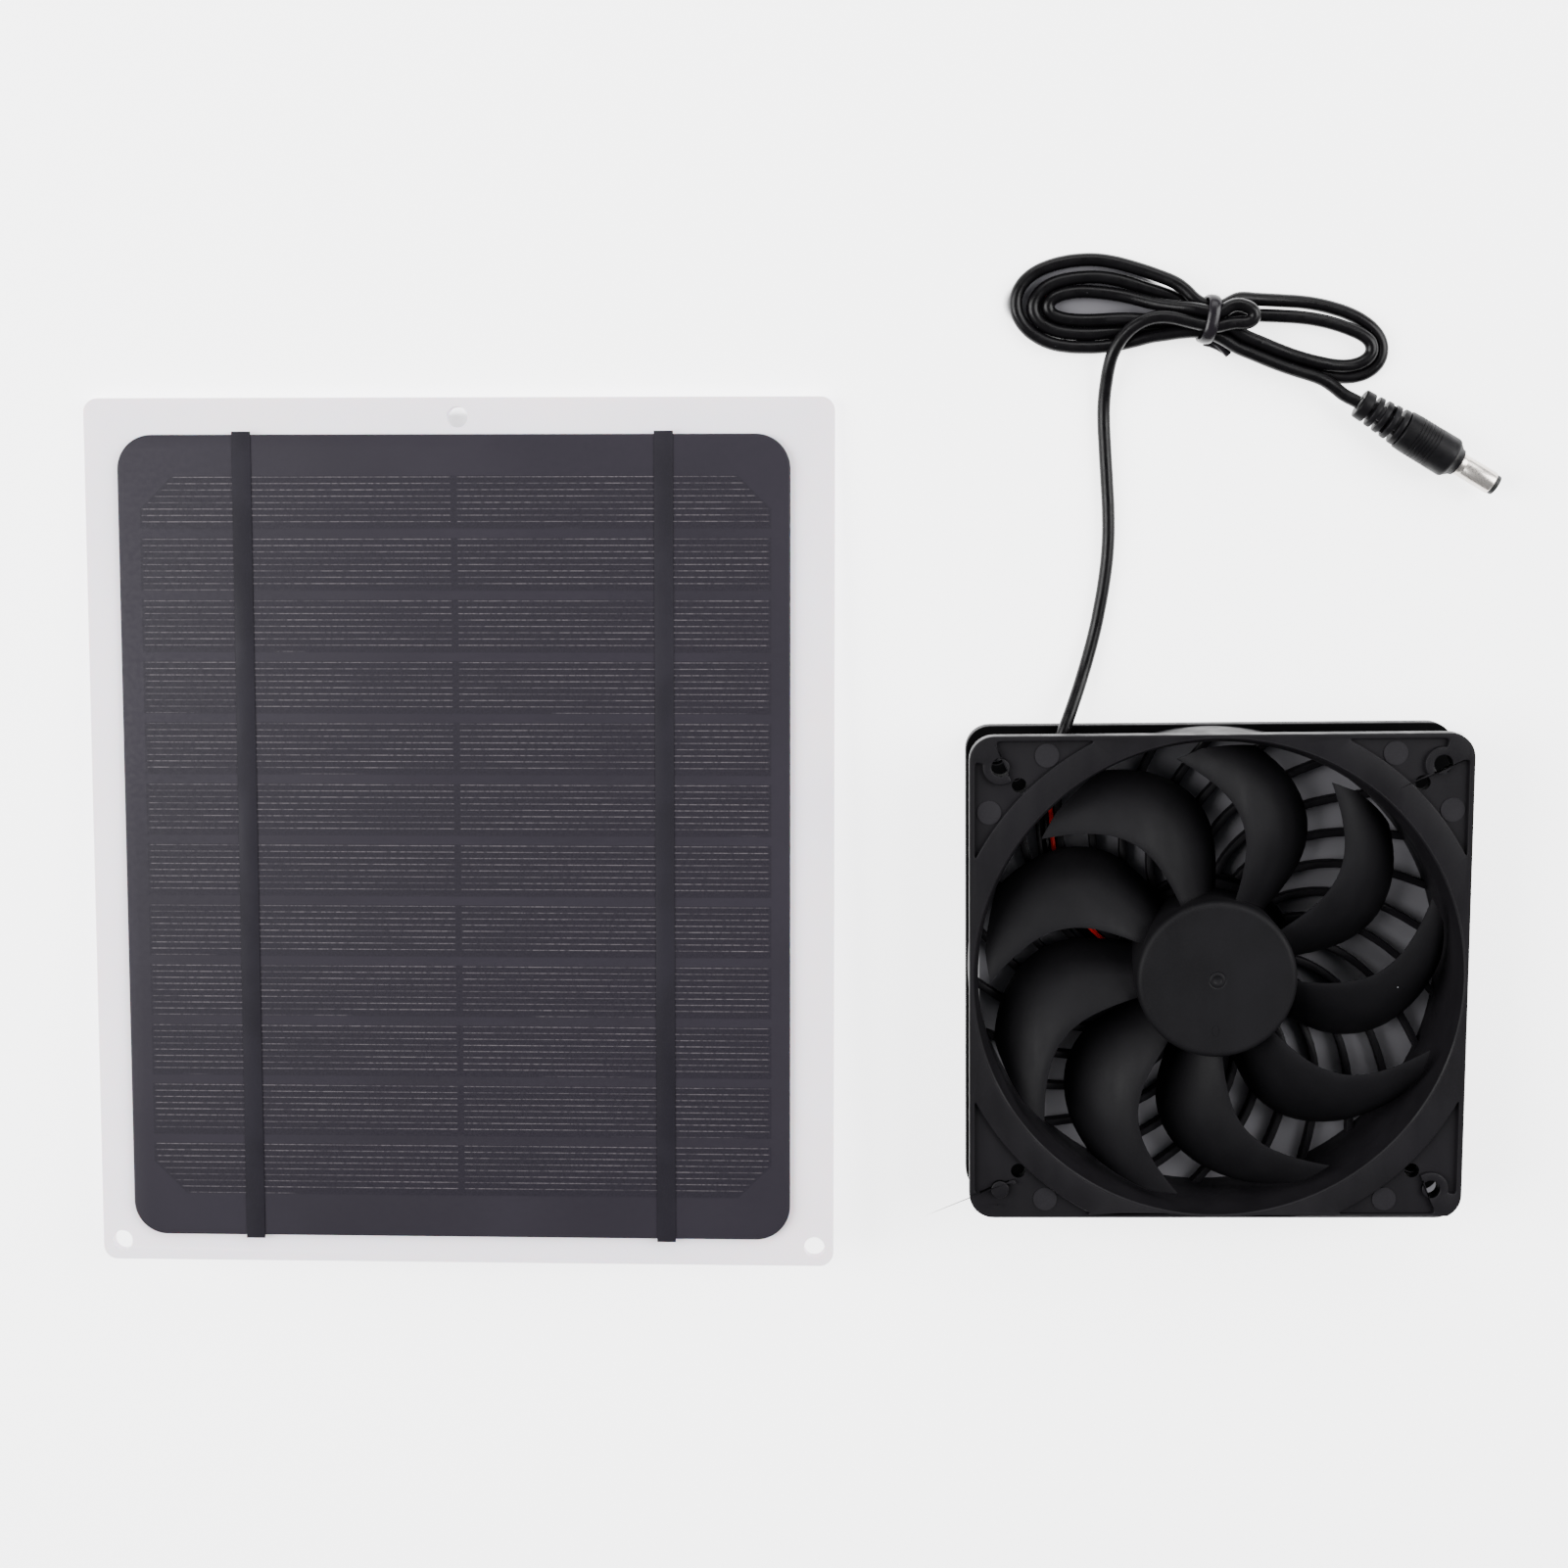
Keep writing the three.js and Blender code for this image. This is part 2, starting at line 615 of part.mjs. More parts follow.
/** The four-pole outline shared by the steel core and its two insulators. */
function poleOutline(armHalf, shoeDeg) {
  const shape = new THREE.Shape();
  for (let i = 0; i < POLE_COUNT; i += 1) {
    const mid = (360 / POLE_COUNT) * i;
    const neck = THREE.MathUtils.radToDeg(Math.asin(armHalf / CORE_NECK_R));
    const tip = THREE.MathUtils.radToDeg(Math.asin(armHalf / CORE_SHOE_R));
    shape.absarc(0, 0, CORE_NECK_R, rad(mid - 360 / POLE_COUNT + neck), rad(mid - neck));
    shape.absarc(0, 0, CORE_SHOE_R, rad(mid - tip), rad(mid - shoeDeg), true);
    shape.absarc(0, 0, CORE_R, rad(mid - shoeDeg), rad(mid + shoeDeg));
    shape.absarc(0, 0, CORE_SHOE_R, rad(mid + shoeDeg), rad(mid + tip), true);
  }
  const holeSteps = 20;
  const holeR = TUBE_R + GAP;
  const holePoints = Array.from({ length: holeSteps }, (_, i) => polar(holeR, (360 / holeSteps) * i));
  shape.holes.push(new THREE.Path(holePoints));
  return shape;
}

/** A coil wound round one arm of the core, lying along +X. */
function coil() {
  const half = COIL_HALF_W;
  const eye = COIL_HALF_W - COIL_T;
  const outer = solid(block(COIL_START_R, COIL_END_R, -half, half, COIL_BOTTOM, COIL_TOP));
  const arm = solid(block(COIL_START_R - THROUGH, COIL_END_R + THROUGH, -eye, eye,
    COIL_BOTTOM + COIL_CROWN, COIL_TOP - COIL_CROWN));
  return outer.subtract(arm);
}

/** A ball bearing as one ring, with its shields sunk between the races. */
function bearing(z0) {
  const z1 = z0 + BEARING_H;
  const [innerRace, outerRace] = BEARING_SHIELD_R;
  return turned([
    [BEARING_BORE_R, z0],
    [innerRace, z0],
    [innerRace, z0 + BEARING_SHIELD_DEPTH],
    [outerRace, z0 + BEARING_SHIELD_DEPTH],
    [outerRace, z0],
    [BEARING_R, z0],
    [BEARING_R, z1],
    [outerRace, z1],
    [outerRace, z1 - BEARING_SHIELD_DEPTH],
    [innerRace, z1 - BEARING_SHIELD_DEPTH],
    [innerRace, z1],
    [BEARING_BORE_R, z1],
  ], 16);
}

function motorPieces() {
  piece(fan, 'bearing_tube', turned([
    [TUBE_BORE_R, TUBE_BOTTOM],
    [TUBE_R, TUBE_BOTTOM],
    [TUBE_R, TUBE_TOP],
    [TUBE_BORE_R, TUBE_TOP],
    [TUBE_BORE_R, TUBE_STEP_TOP],
    [TUBE_STEP_R, TUBE_STEP_TOP],
    [TUBE_STEP_R, TUBE_STEP_BOTTOM],
    [TUBE_BORE_R, TUBE_STEP_BOTTOM],
  ], 24), BRASS);
  piece(fan, 'rear_bearing', bearing(REAR_BEARING_BOTTOM), STEEL);
  piece(fan, 'front_bearing', bearing(FRONT_BEARING_BOTTOM), STEEL);
  const core = poleOutline(CORE_ARM_HALF_W, CORE_SHOE_HALF_DEG);
  piece(fan, 'stator_core', raised(core, CORE_BOTTOM, CORE_TOP, 4), LAMINATION);
  const insulator = poleOutline(INSULATOR_ARM_HALF_W, INSULATOR_SHOE_HALF_DEG);
  const under = CORE_BOTTOM - GAP;
  const over = CORE_TOP + GAP;
  piece(fan, 'lower_insulator', raised(insulator, under - INSULATOR_T, under, 4), WHITE_NYLON);
  piece(fan, 'upper_insulator', raised(insulator, over, over + INSULATOR_T, 4), WHITE_NYLON);
  const winding = coil();
  for (let i = 0; i < POLE_COUNT; i += 1) {
    const turnedCoil = spun(winding, (360 / POLE_COUNT) * i);
    piece(fan, `coil_${i + 1}`, geometryOf(turnedCoil), COPPER);
  }
  piece(fan, 'motor_board', ring(BOARD_BORE_R, BOARD_R, BOARD_BOTTOM, BOARD_TOP), BOARD_GREEN);
  piece(fan, 'rear_label', bar(LABEL_R, LABEL_BOTTOM, BASE_BOTTOM - GAP, 40), LABEL_SILVER);
}

/** What is soldered to the motor board, between the coils. */
function boardPieces() {
  const z = BOARD_TOP + GAP;
  const sensor = block(11.4, 15, -1.6, 1.6, z, z + 1.3).rotateZ(rad(45));
  const chip = block(9.6, 13.4, -2.4, 2.4, z, z + 1.4).rotateZ(rad(-45));
  const canAt = polar(12.2, 225);
  const can = bar(1.7, z, z + 2.6, 16).translate(canAt.x, canAt.y, 0);
  piece(fan, 'hall_sensor', sensor, BLACK_PLASTIC);
  piece(fan, 'driver_chip', chip, BLACK_PLASTIC);
  piece(fan, 'board_capacitor', can, ALUMINIUM);
}

/** The two wires that run from the board, along the guide rib, to the end of the lead. */
function wirePieces() {
  const stations = [
    [14.8, 5.4], [18, 4.7], [22, 3.6], [27, 2.5], [34, 2.5], [42, 2.5], [49, 2.6], [53.5, 2.8],
  ];
  const wires = [['red_wire', -WIRE_SPREAD, RED_PVC], ['black_wire', WIRE_SPREAD, CORD_BLACK]];
  for (const [name, side, material] of wires) {
    const route = stations.map(([r, z]) => {
      const plan = besideRib(GUIDE_DEG, r, WIRE_OFFSET + side);
      return [plan.x, plan.y, z];
    });
    route.push([-40.5 - side * 0.9, 41, 3.6]);
    route.push([-40.8 - side * 0.9, 43.5, 5]);
    route.push([-40.9 - side * 0.9, 45.7, 6.4]);
    piece(fan, name, cordAlong(route, WIRE_R, 22, 3), material);
  }
}

// ---------------------------------------------------------------- lead, hank and plug

// The lead's way from the corner of the frame to the hank, then from the hank to the plug.
const LEAD_ROUTE = [
  [68.9, 12.6, 6.6], [70.5, 17, 6.7], [72.2, 21.2, 6.8], [74, 25.8, 6.5], [76.2, 31.6, 5.2],
  [78.6, 38.4, 3],
  [81.3, 47.8, 1.8], [83.2, 57.5, 1.7], [84.4, 66, 1.7], [84.8, 74.4, 1.7], [84.4, 83.8, 1.7],
  [83.8, 93.2, 1.7], [83.4, 100.4, 1.7], [83.5, 106.4, 2.4], [84.6, 111.6, 4.2], [86, 115.2, 5.6],
];
const TAIL_ROUTE = [
  [136.4, 107.6, 3.8], [139, 106.5, 4.3], [141.6, 105.4, 4.8], [144.1, 104.05, 5.1],
];

/** The hank's outer shape: two round-ended loops drawn together at the waist. */
function hankOutline() {
  const left = new THREE.Vector3(72.2, 129, 11.9);
  const right = new THREE.Vector3(141.3, 119.4, 10.4);
  const up = new THREE.Vector2(0, BUNDLE_HALF_W).rotateAround(new THREE.Vector2(), TIE_YAW);
  const top = TIE_CENTRE.clone().add(up);
  const bottom = TIE_CENTRE.clone().sub(up);
  const shape = new THREE.Shape();
  shape.moveTo(top.x, top.y);
  shape.quadraticCurveTo(88, 141.2, left.x, left.y + left.z);
  shape.absarc(left.x, left.y, left.z, Math.PI / 2, Math.PI * 1.5);
  shape.quadraticCurveTo(90, 117.2, bottom.x, bottom.y);
  const lean = rad(18);
  const turnX = right.x - right.z * Math.sin(lean);
  const turnY = right.y - right.z * Math.cos(lean);
  shape.quadraticCurveTo(122, 114.2, turnX, turnY);
  shape.absarc(right.x, right.y, right.z, -Math.PI / 2 - lean, Math.PI / 2 - lean);
  shape.quadraticCurveTo(125, 132, top.x, top.y);
  return shape;
}

/** Places a geometry that is drawn along the bundle at the tie. */
function atTie(geometry) {
  return geometry.rotateZ(TIE_YAW).translate(TIE_CENTRE.x, TIE_CENTRE.y, 0);
}

/** The wound lead's outer shape, thinner where the tie goes round it. */
function hank() {
  const body = solid(raised(hankOutline(), HANK_BOTTOM, HANK_TOP, 14));
  const reach = BUNDLE_HALF_W * 6;
  const half = HANK_WAIST_HALF;
  const inner = BUNDLE_HALF_W - HANK_WAIST_INSET;
  const low = HANK_BOTTOM + TIE_WIRE + GAP * 2;
  const high = HANK_TOP - GAP;
  const waist = solid(atTie(block(-half, half, -reach, reach, -THROUGH, HANK_TOP + THROUGH)));
  const kept = solid(atTie(block(-half - THROUGH, half + THROUGH, -inner, inner, low, high)));
  return geometryOf(body.subtract(waist.subtract(kept)));
}

/** The wire tie: a closed band round the bundle and its twisted tail. */
function wireTie() {
  const half = TIE_HALF_W;
  const inner = BUNDLE_HALF_W + TIE_BOTTOM;
  const outer = inner + TIE_WIRE;
  const mouthBottom = TIE_BOTTOM + TIE_WIRE;
  const band = solid(atTie(block(-half, half, -outer, outer, TIE_BOTTOM, HANK_TOP + TIE_WIRE)));
  const mouth = solid(atTie(block(-half - THROUGH, half + THROUGH, -inner, inner, mouthBottom, HANK_TOP)));
  const tail = solid(cordAlong([
    [106.8, 118.5, 2], [108.6, 116.7, 1.6], [111, 115.2, 1.3], [114.6, 113.8, 1.1],
  ], TIE_HALF_W, 5, 2));
  return geometryOf(band.subtract(mouth).add(tail.subtract(mouth)));
}

/** Turns a piece made along +Z so that it lies along the plug, starting at a distance from its back. */
function onPlug(geometry) {
  const laid = geometry.rotateY(Math.PI / 2).rotateZ(PLUG_YAW);
  return laid.translate(PLUG_START.x, PLUG_START.y, PLUG_START.z);
}

/** The moulded grip with its ringed strain relief. */
function plugGrip() {
  const profile = [[0, 0], [3.3, 0], [3.6, 0.4], [3.7, RELIEF_START]];
  for (let i = 0; i < RELIEF_RINGS; i += 1) {
    const z = RELIEF_START + i * RELIEF_PITCH;
    const r = 3.8 + i * 0.2;
    profile.push([r - 0.9, z + 0.3], [r - 0.9, z + 1], [r, z + 1.2], [r + 0.1, z + RELIEF_PITCH]);
  }
  profile.push([GRIP_R - 0.2, 12.6], [GRIP_R, 14], [GRIP_R, 25.6], [GRIP_R - 0.5, 27.2]);
  profile.push([GRIP_R - 1.6, GRIP_LENGTH], [0, GRIP_LENGTH]);
  return turned(profile, 20);
}

function cordPieces() {
  piece(kit, 'cord_lead', cordAlong(LEAD_ROUTE, CORD_R, 24, 4), CORD_BLACK);
  piece(kit, 'cord_hank', hank(), CORD_BLACK);
  piece(kit, 'wire_tie', wireTie(), CORD_BLACK);
  piece(kit, 'cord_tail', cordAlong(TAIL_ROUTE, CORD_R, 4, 4), CORD_BLACK);
  piece(kit, 'plug_grip', onPlug(plugGrip()), CORD_BLACK);
  const start = GRIP_LENGTH + GAP;
  const end = start + BARREL_LENGTH;
  const sleeveR = BARREL_BORE_R - GAP;
  piece(kit, 'plug_barrel', onPlug(ring(BARREL_BORE_R, BARREL_R, start, end, 24)), NICKEL);
  piece(kit, 'plug_insulator', onPlug(turned([
    [PLUG_PIN_BORE_R, start + GAP * 2],
    [sleeveR, start + GAP * 2],
    [sleeveR, end + GAP],
    [BARREL_R - 0.5, end + GAP],
    [BARREL_R - 0.6, end + PLUG_TIP_LENGTH],
    [PLUG_PIN_BORE_R, end + PLUG_TIP_LENGTH],
  ], 20)), BLACK_PLASTIC);
}

// ---------------------------------------------------------------- solar panel

const panel = new THREE.Group();
panel.rotation.set(PANEL_TILT, 0, PANEL_YAW, 'ZYX');
panel.position.set(PANEL_CENTRE.x, PANEL_CENTRE.y, -Math.sin(PANEL_TILT) * (PLATE_H / 2));
kit.add(panel);

/** The frosted plate with its three screw holes. */
function backingPlate() {
  let body = solid(raised(roundedRect(PLATE_W, PLATE_H, PLATE_CORNER_R), 0, PLATE_T, 4));
  const x = PLATE_W / 2 - PLATE_HOLE_INSET;
  const y = PLATE_H / 2 - PLATE_HOLE_INSET;
  for (const [hx, hy] of [[0, y], [-x, -y], [x, -y]]) {
    const hole = bar(PLATE_HOLE_R, -THROUGH, PLATE_T + THROUGH, 18);
    body = body.subtract(solid(hole.translate(hx, hy, 0)));
  }
  return geometryOf(body);
}

/** The height of a cell strip's middle, counted from the top of the panel. */
function stripY(i) {
  return CELL_OFFSET.y + CELL_PITCH * ((CELL_COUNT - 1) / 2 - i);
}

/** A cell strip's outline. The first and last strips carry the wafer's cut corners. */
function stripOutline(i, grow) {
  const x = CELL_W / 2 + grow;
  const y = CELL_H / 2 + grow;
  const cutTop = i === 0 ? CELL_CHAMFER : 0;
  const cutBottom = i === CELL_COUNT - 1 ? CELL_CHAMFER : 0;
  const corners = [
    [x - cutBottom, -y], [x, -y + cutBottom], [x, y - cutTop], [x - cutTop, y],
    [-x + cutTop, y], [-x, y - cutTop], [-x, -y + cutBottom], [-x + cutBottom, -y],
  ];
  const points = corners.map(([px, py]) => new THREE.Vector2(px + CELL_OFFSET.x, py + stripY(i)));
  return new THREE.Shape(points.filter((p, k) => k === 0 || p.distanceTo(points[k - 1]) > GAP));
}

const SHEET_BOTTOM = PLATE_T + GAP;
const SHEET_TOP = SHEET_BOTTOM + SHEET_T;
const CELL_BOTTOM = SHEET_TOP - CELL_T;
const RIBBON_BOTTOM = CELL_BOTTOM - GAP - RIBBON_T;

/** The x of the left and right tapes, with the ribbons under them. */
const tapeXs = [SHEET_OFFSET.x - TAPE_SPREAD / 2, SHEET_OFFSET.x + TAPE_SPREAD / 2];

/** The dark sheet, hollowed for the cell strips and the ribbons under them. */
function laminateSheet() {
  const outline = roundedRect(SHEET_W, SHEET_H, SHEET_CORNER_R, SHEET_OFFSET.x, SHEET_OFFSET.y);
  let body = solid(raised(outline, SHEET_BOTTOM, SHEET_TOP, 6));
  for (let i = 0; i < CELL_COUNT; i += 1) {
    body = body.subtract(solid(raised(stripOutline(i, GAP), CELL_BOTTOM - GAP, SHEET_TOP + THROUGH)));
  }
  const reach = CELL_PITCH * (CELL_COUNT - 1) / 2;
  for (const x of tapeXs) {
    const half = RIBBON_W / 2 + GAP;
    const end = reach + GAP;
    const groove = block(x - half, x + half, -end, end, RIBBON_BOTTOM - GAP, SHEET_TOP - CELL_T / 4);
    body = body.subtract(solid(groove));
  }
  return geometryOf(body);
}

function panelPieces() {
  piece(panel, 'backing_plate', backingPlate(), FROSTED);
  piece(panel, 'laminate_sheet', laminateSheet(), SHEET_DARK);
  for (let i = 0; i < CELL_COUNT; i += 1) {
    const name = `cell_strip_${String(i + 1).padStart(2, '0')}`;
    piece(panel, name, raised(stripOutline(i, 0), CELL_BOTTOM, SHEET_TOP), CELL_BLUE);
  }
  const reach = CELL_PITCH * (CELL_COUNT - 1) / 2;
  const tapeReach = SHEET_H / 2 + TAPE_OVERHANG;
  const tapeBottom = SHEET_TOP + GAP;
  ['left', 'right'].forEach((side, k) => {
    const x = tapeXs[k];
    const ribbon = block(x - RIBBON_W / 2, x + RIBBON_W / 2, -reach, reach,
      RIBBON_BOTTOM, RIBBON_BOTTOM + RIBBON_T);
    const tape = block(x - TAPE_W / 2, x + TAPE_W / 2, SHEET_OFFSET.y - tapeReach,
      SHEET_OFFSET.y + tapeReach, tapeBottom, tapeBottom + TAPE_T);
    piece(panel, `${side}_ribbon`, ribbon, NICKEL);
    piece(panel, `${side}_tape`, tape, TAPE_BLACK);
  });
}

// ---------------------------------------------------------------- junction box

const BOX_Y = BOX_TOP_Y - BOX_H / 2;
const LID_TOP = -BOX_DEPTH + LID_T;
const TRAY_BOTTOM = LID_TOP + GAP;
const TRAY_Y0 = BOX_TOP_Y - BOX_H;
const ROOM_TOP = -GAP - BOX_FLOOR - GAP;   // the highest a piece inside the box may reach

/** Turns a piece made along +Z so that it points out of the panel's lower edge, at the jack. */
function atJack(geometry) {
  return geometry.rotateX(Math.PI / 2).translate(0, TRAY_Y0, JACK_Z);
}

/** The box's shell, open below for the lid and slotted for the socket. */
function boxTray() {
  const outline = roundedRect(BOX_W, BOX_H, BOX_CORNER_R, 0, BOX_Y);
  const outer = solid(raised(outline, TRAY_BOTTOM, -GAP, 4));
  const cavity = roundedRect(BOX_W - BOX_WALL * 2, BOX_H - BOX_WALL * 2, BOX_WALL, 0, BOX_Y);
  const inner = solid(raised(cavity, TRAY_BOTTOM - THROUGH, -GAP - BOX_FLOOR, 4));
  const slotHalf = JACK_R + GAP;
  const hole = solid(atJack(bar(slotHalf, -BOX_WALL - THROUGH, THROUGH)));
  const slot = solid(block(-slotHalf, slotHalf, TRAY_Y0 - THROUGH, TRAY_Y0 + BOX_WALL + THROUGH,
    TRAY_BOTTOM - THROUGH, JACK_Z));
  return geometryOf(outer.subtract(inner).subtract(hole).subtract(slot));
}

/** The socket's moulded body: a block inside the box and a round collar through its wall. */
function jackBody() {
  const half = JACK_BODY_HALF_W;
  const inside = solid(block(-half, half, TRAY_Y0 + BOX_WALL + GAP, TRAY_Y0 + JACK_BODY_BACK,
    TRAY_BOTTOM + 0.2, ROOM_TOP));
  const collar = solid(atJack(bar(JACK_R, -BOX_WALL - 1, JACK_COLLAR_PROUD)));
  const bore = solid(atJack(bar(JACK_BORE_R, -JACK_BORE_DEPTH, JACK_COLLAR_PROUD + THROUGH)));
  return geometryOf(inside.add(collar).subtract(bore));
}

function boxPieces() {
  const lid = roundedRect(BOX_W, BOX_H, BOX_CORNER_R, 0, BOX_Y);
  piece(panel, 'box_tray', boxTray(), BLACK_PLASTIC);
  piece(panel, 'box_lid', raised(lid, -BOX_DEPTH, LID_TOP, 4), BLACK_PLASTIC);
  piece(panel, 'socket_body', jackBody(), BLACK_PLASTIC);
  piece(panel, 'socket_pin', atJack(bar(JACK_PIN_R, -JACK_BORE_DEPTH + GAP, -1.2, 16)), NICKEL);
  const y0 = TRAY_Y0 + JACK_BODY_BACK + 1;
  const y1 = BOX_TOP_Y - BOX_WALL - 1;
  const boardHalf = TERMINAL_BOARD_HALF_W;
  const boardBottom = ROOM_TOP - TERMINAL_BOARD_T;
  const board = block(-boardHalf, boardHalf, y0, y1, boardBottom, ROOM_TOP);
  piece(panel, 'terminal_board', board, BOARD_GREEN);
  const z = boardBottom - GAP - DIODE_R;
  const diode = bar(DIODE_R, -DIODE_HALF_L, DIODE_HALF_L, 16).rotateY(Math.PI / 2);
  piece(panel, 'blocking_diode', diode.translate(DIODE_X, (y0 + y1) / 2, z), BLACK_PLASTIC);
  for (const [name, x] of [['plus_terminal', 6], ['minus_terminal', 14]]) {
    const terminal = block(x - TERMINAL_HALF_W, x + TERMINAL_HALF_W, y0 + TERMINAL_INSET,
      y1 - TERMINAL_INSET, z - TERMINAL_HALF_T, boardBottom - GAP);
    piece(panel, name, terminal, BRASS);
  }
}

piece(fan, 'fan_frame', fanFrame(), BLACK_PLASTIC);
rotorPieces();
motorPieces();
boardPieces();
wirePieces();
cordPieces();
panelPieces();
boxPieces();

export default kit;
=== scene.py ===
"""Looks for the solar attic fan kit: a 120 mm axial fan, its wound lead and its small solar panel.

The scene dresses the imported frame. Parts that show their own shape keep it and get a finish; the
lead, the plug, the rotor, the housing and the panel's face are built here in finer detail.
All lengths are metres in the frame's axes: +X runs from the panel to the fan, +Z is up.
"""

from __future__ import annotations

import json
import logging
import math
from dataclasses import dataclass, field
from enum import Enum
from typing import Iterable, Sequence

import bmesh
import bpy
from mathutils import Matrix, Vector


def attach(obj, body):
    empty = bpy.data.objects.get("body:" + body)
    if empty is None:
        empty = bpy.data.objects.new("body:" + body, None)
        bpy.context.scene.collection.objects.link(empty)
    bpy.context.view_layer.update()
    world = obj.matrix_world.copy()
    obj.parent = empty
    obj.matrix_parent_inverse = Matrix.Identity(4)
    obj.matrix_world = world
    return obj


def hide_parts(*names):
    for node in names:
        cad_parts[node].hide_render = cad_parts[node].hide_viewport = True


logging.basicConfig(level=logging.INFO, format="%(name)s: %(message)s")
LOG = logging.getLogger("solar_fan")

MM = 0.001

Point = tuple[float, float]
Outline = Sequence[Point]
Colour = tuple[float, float, float]

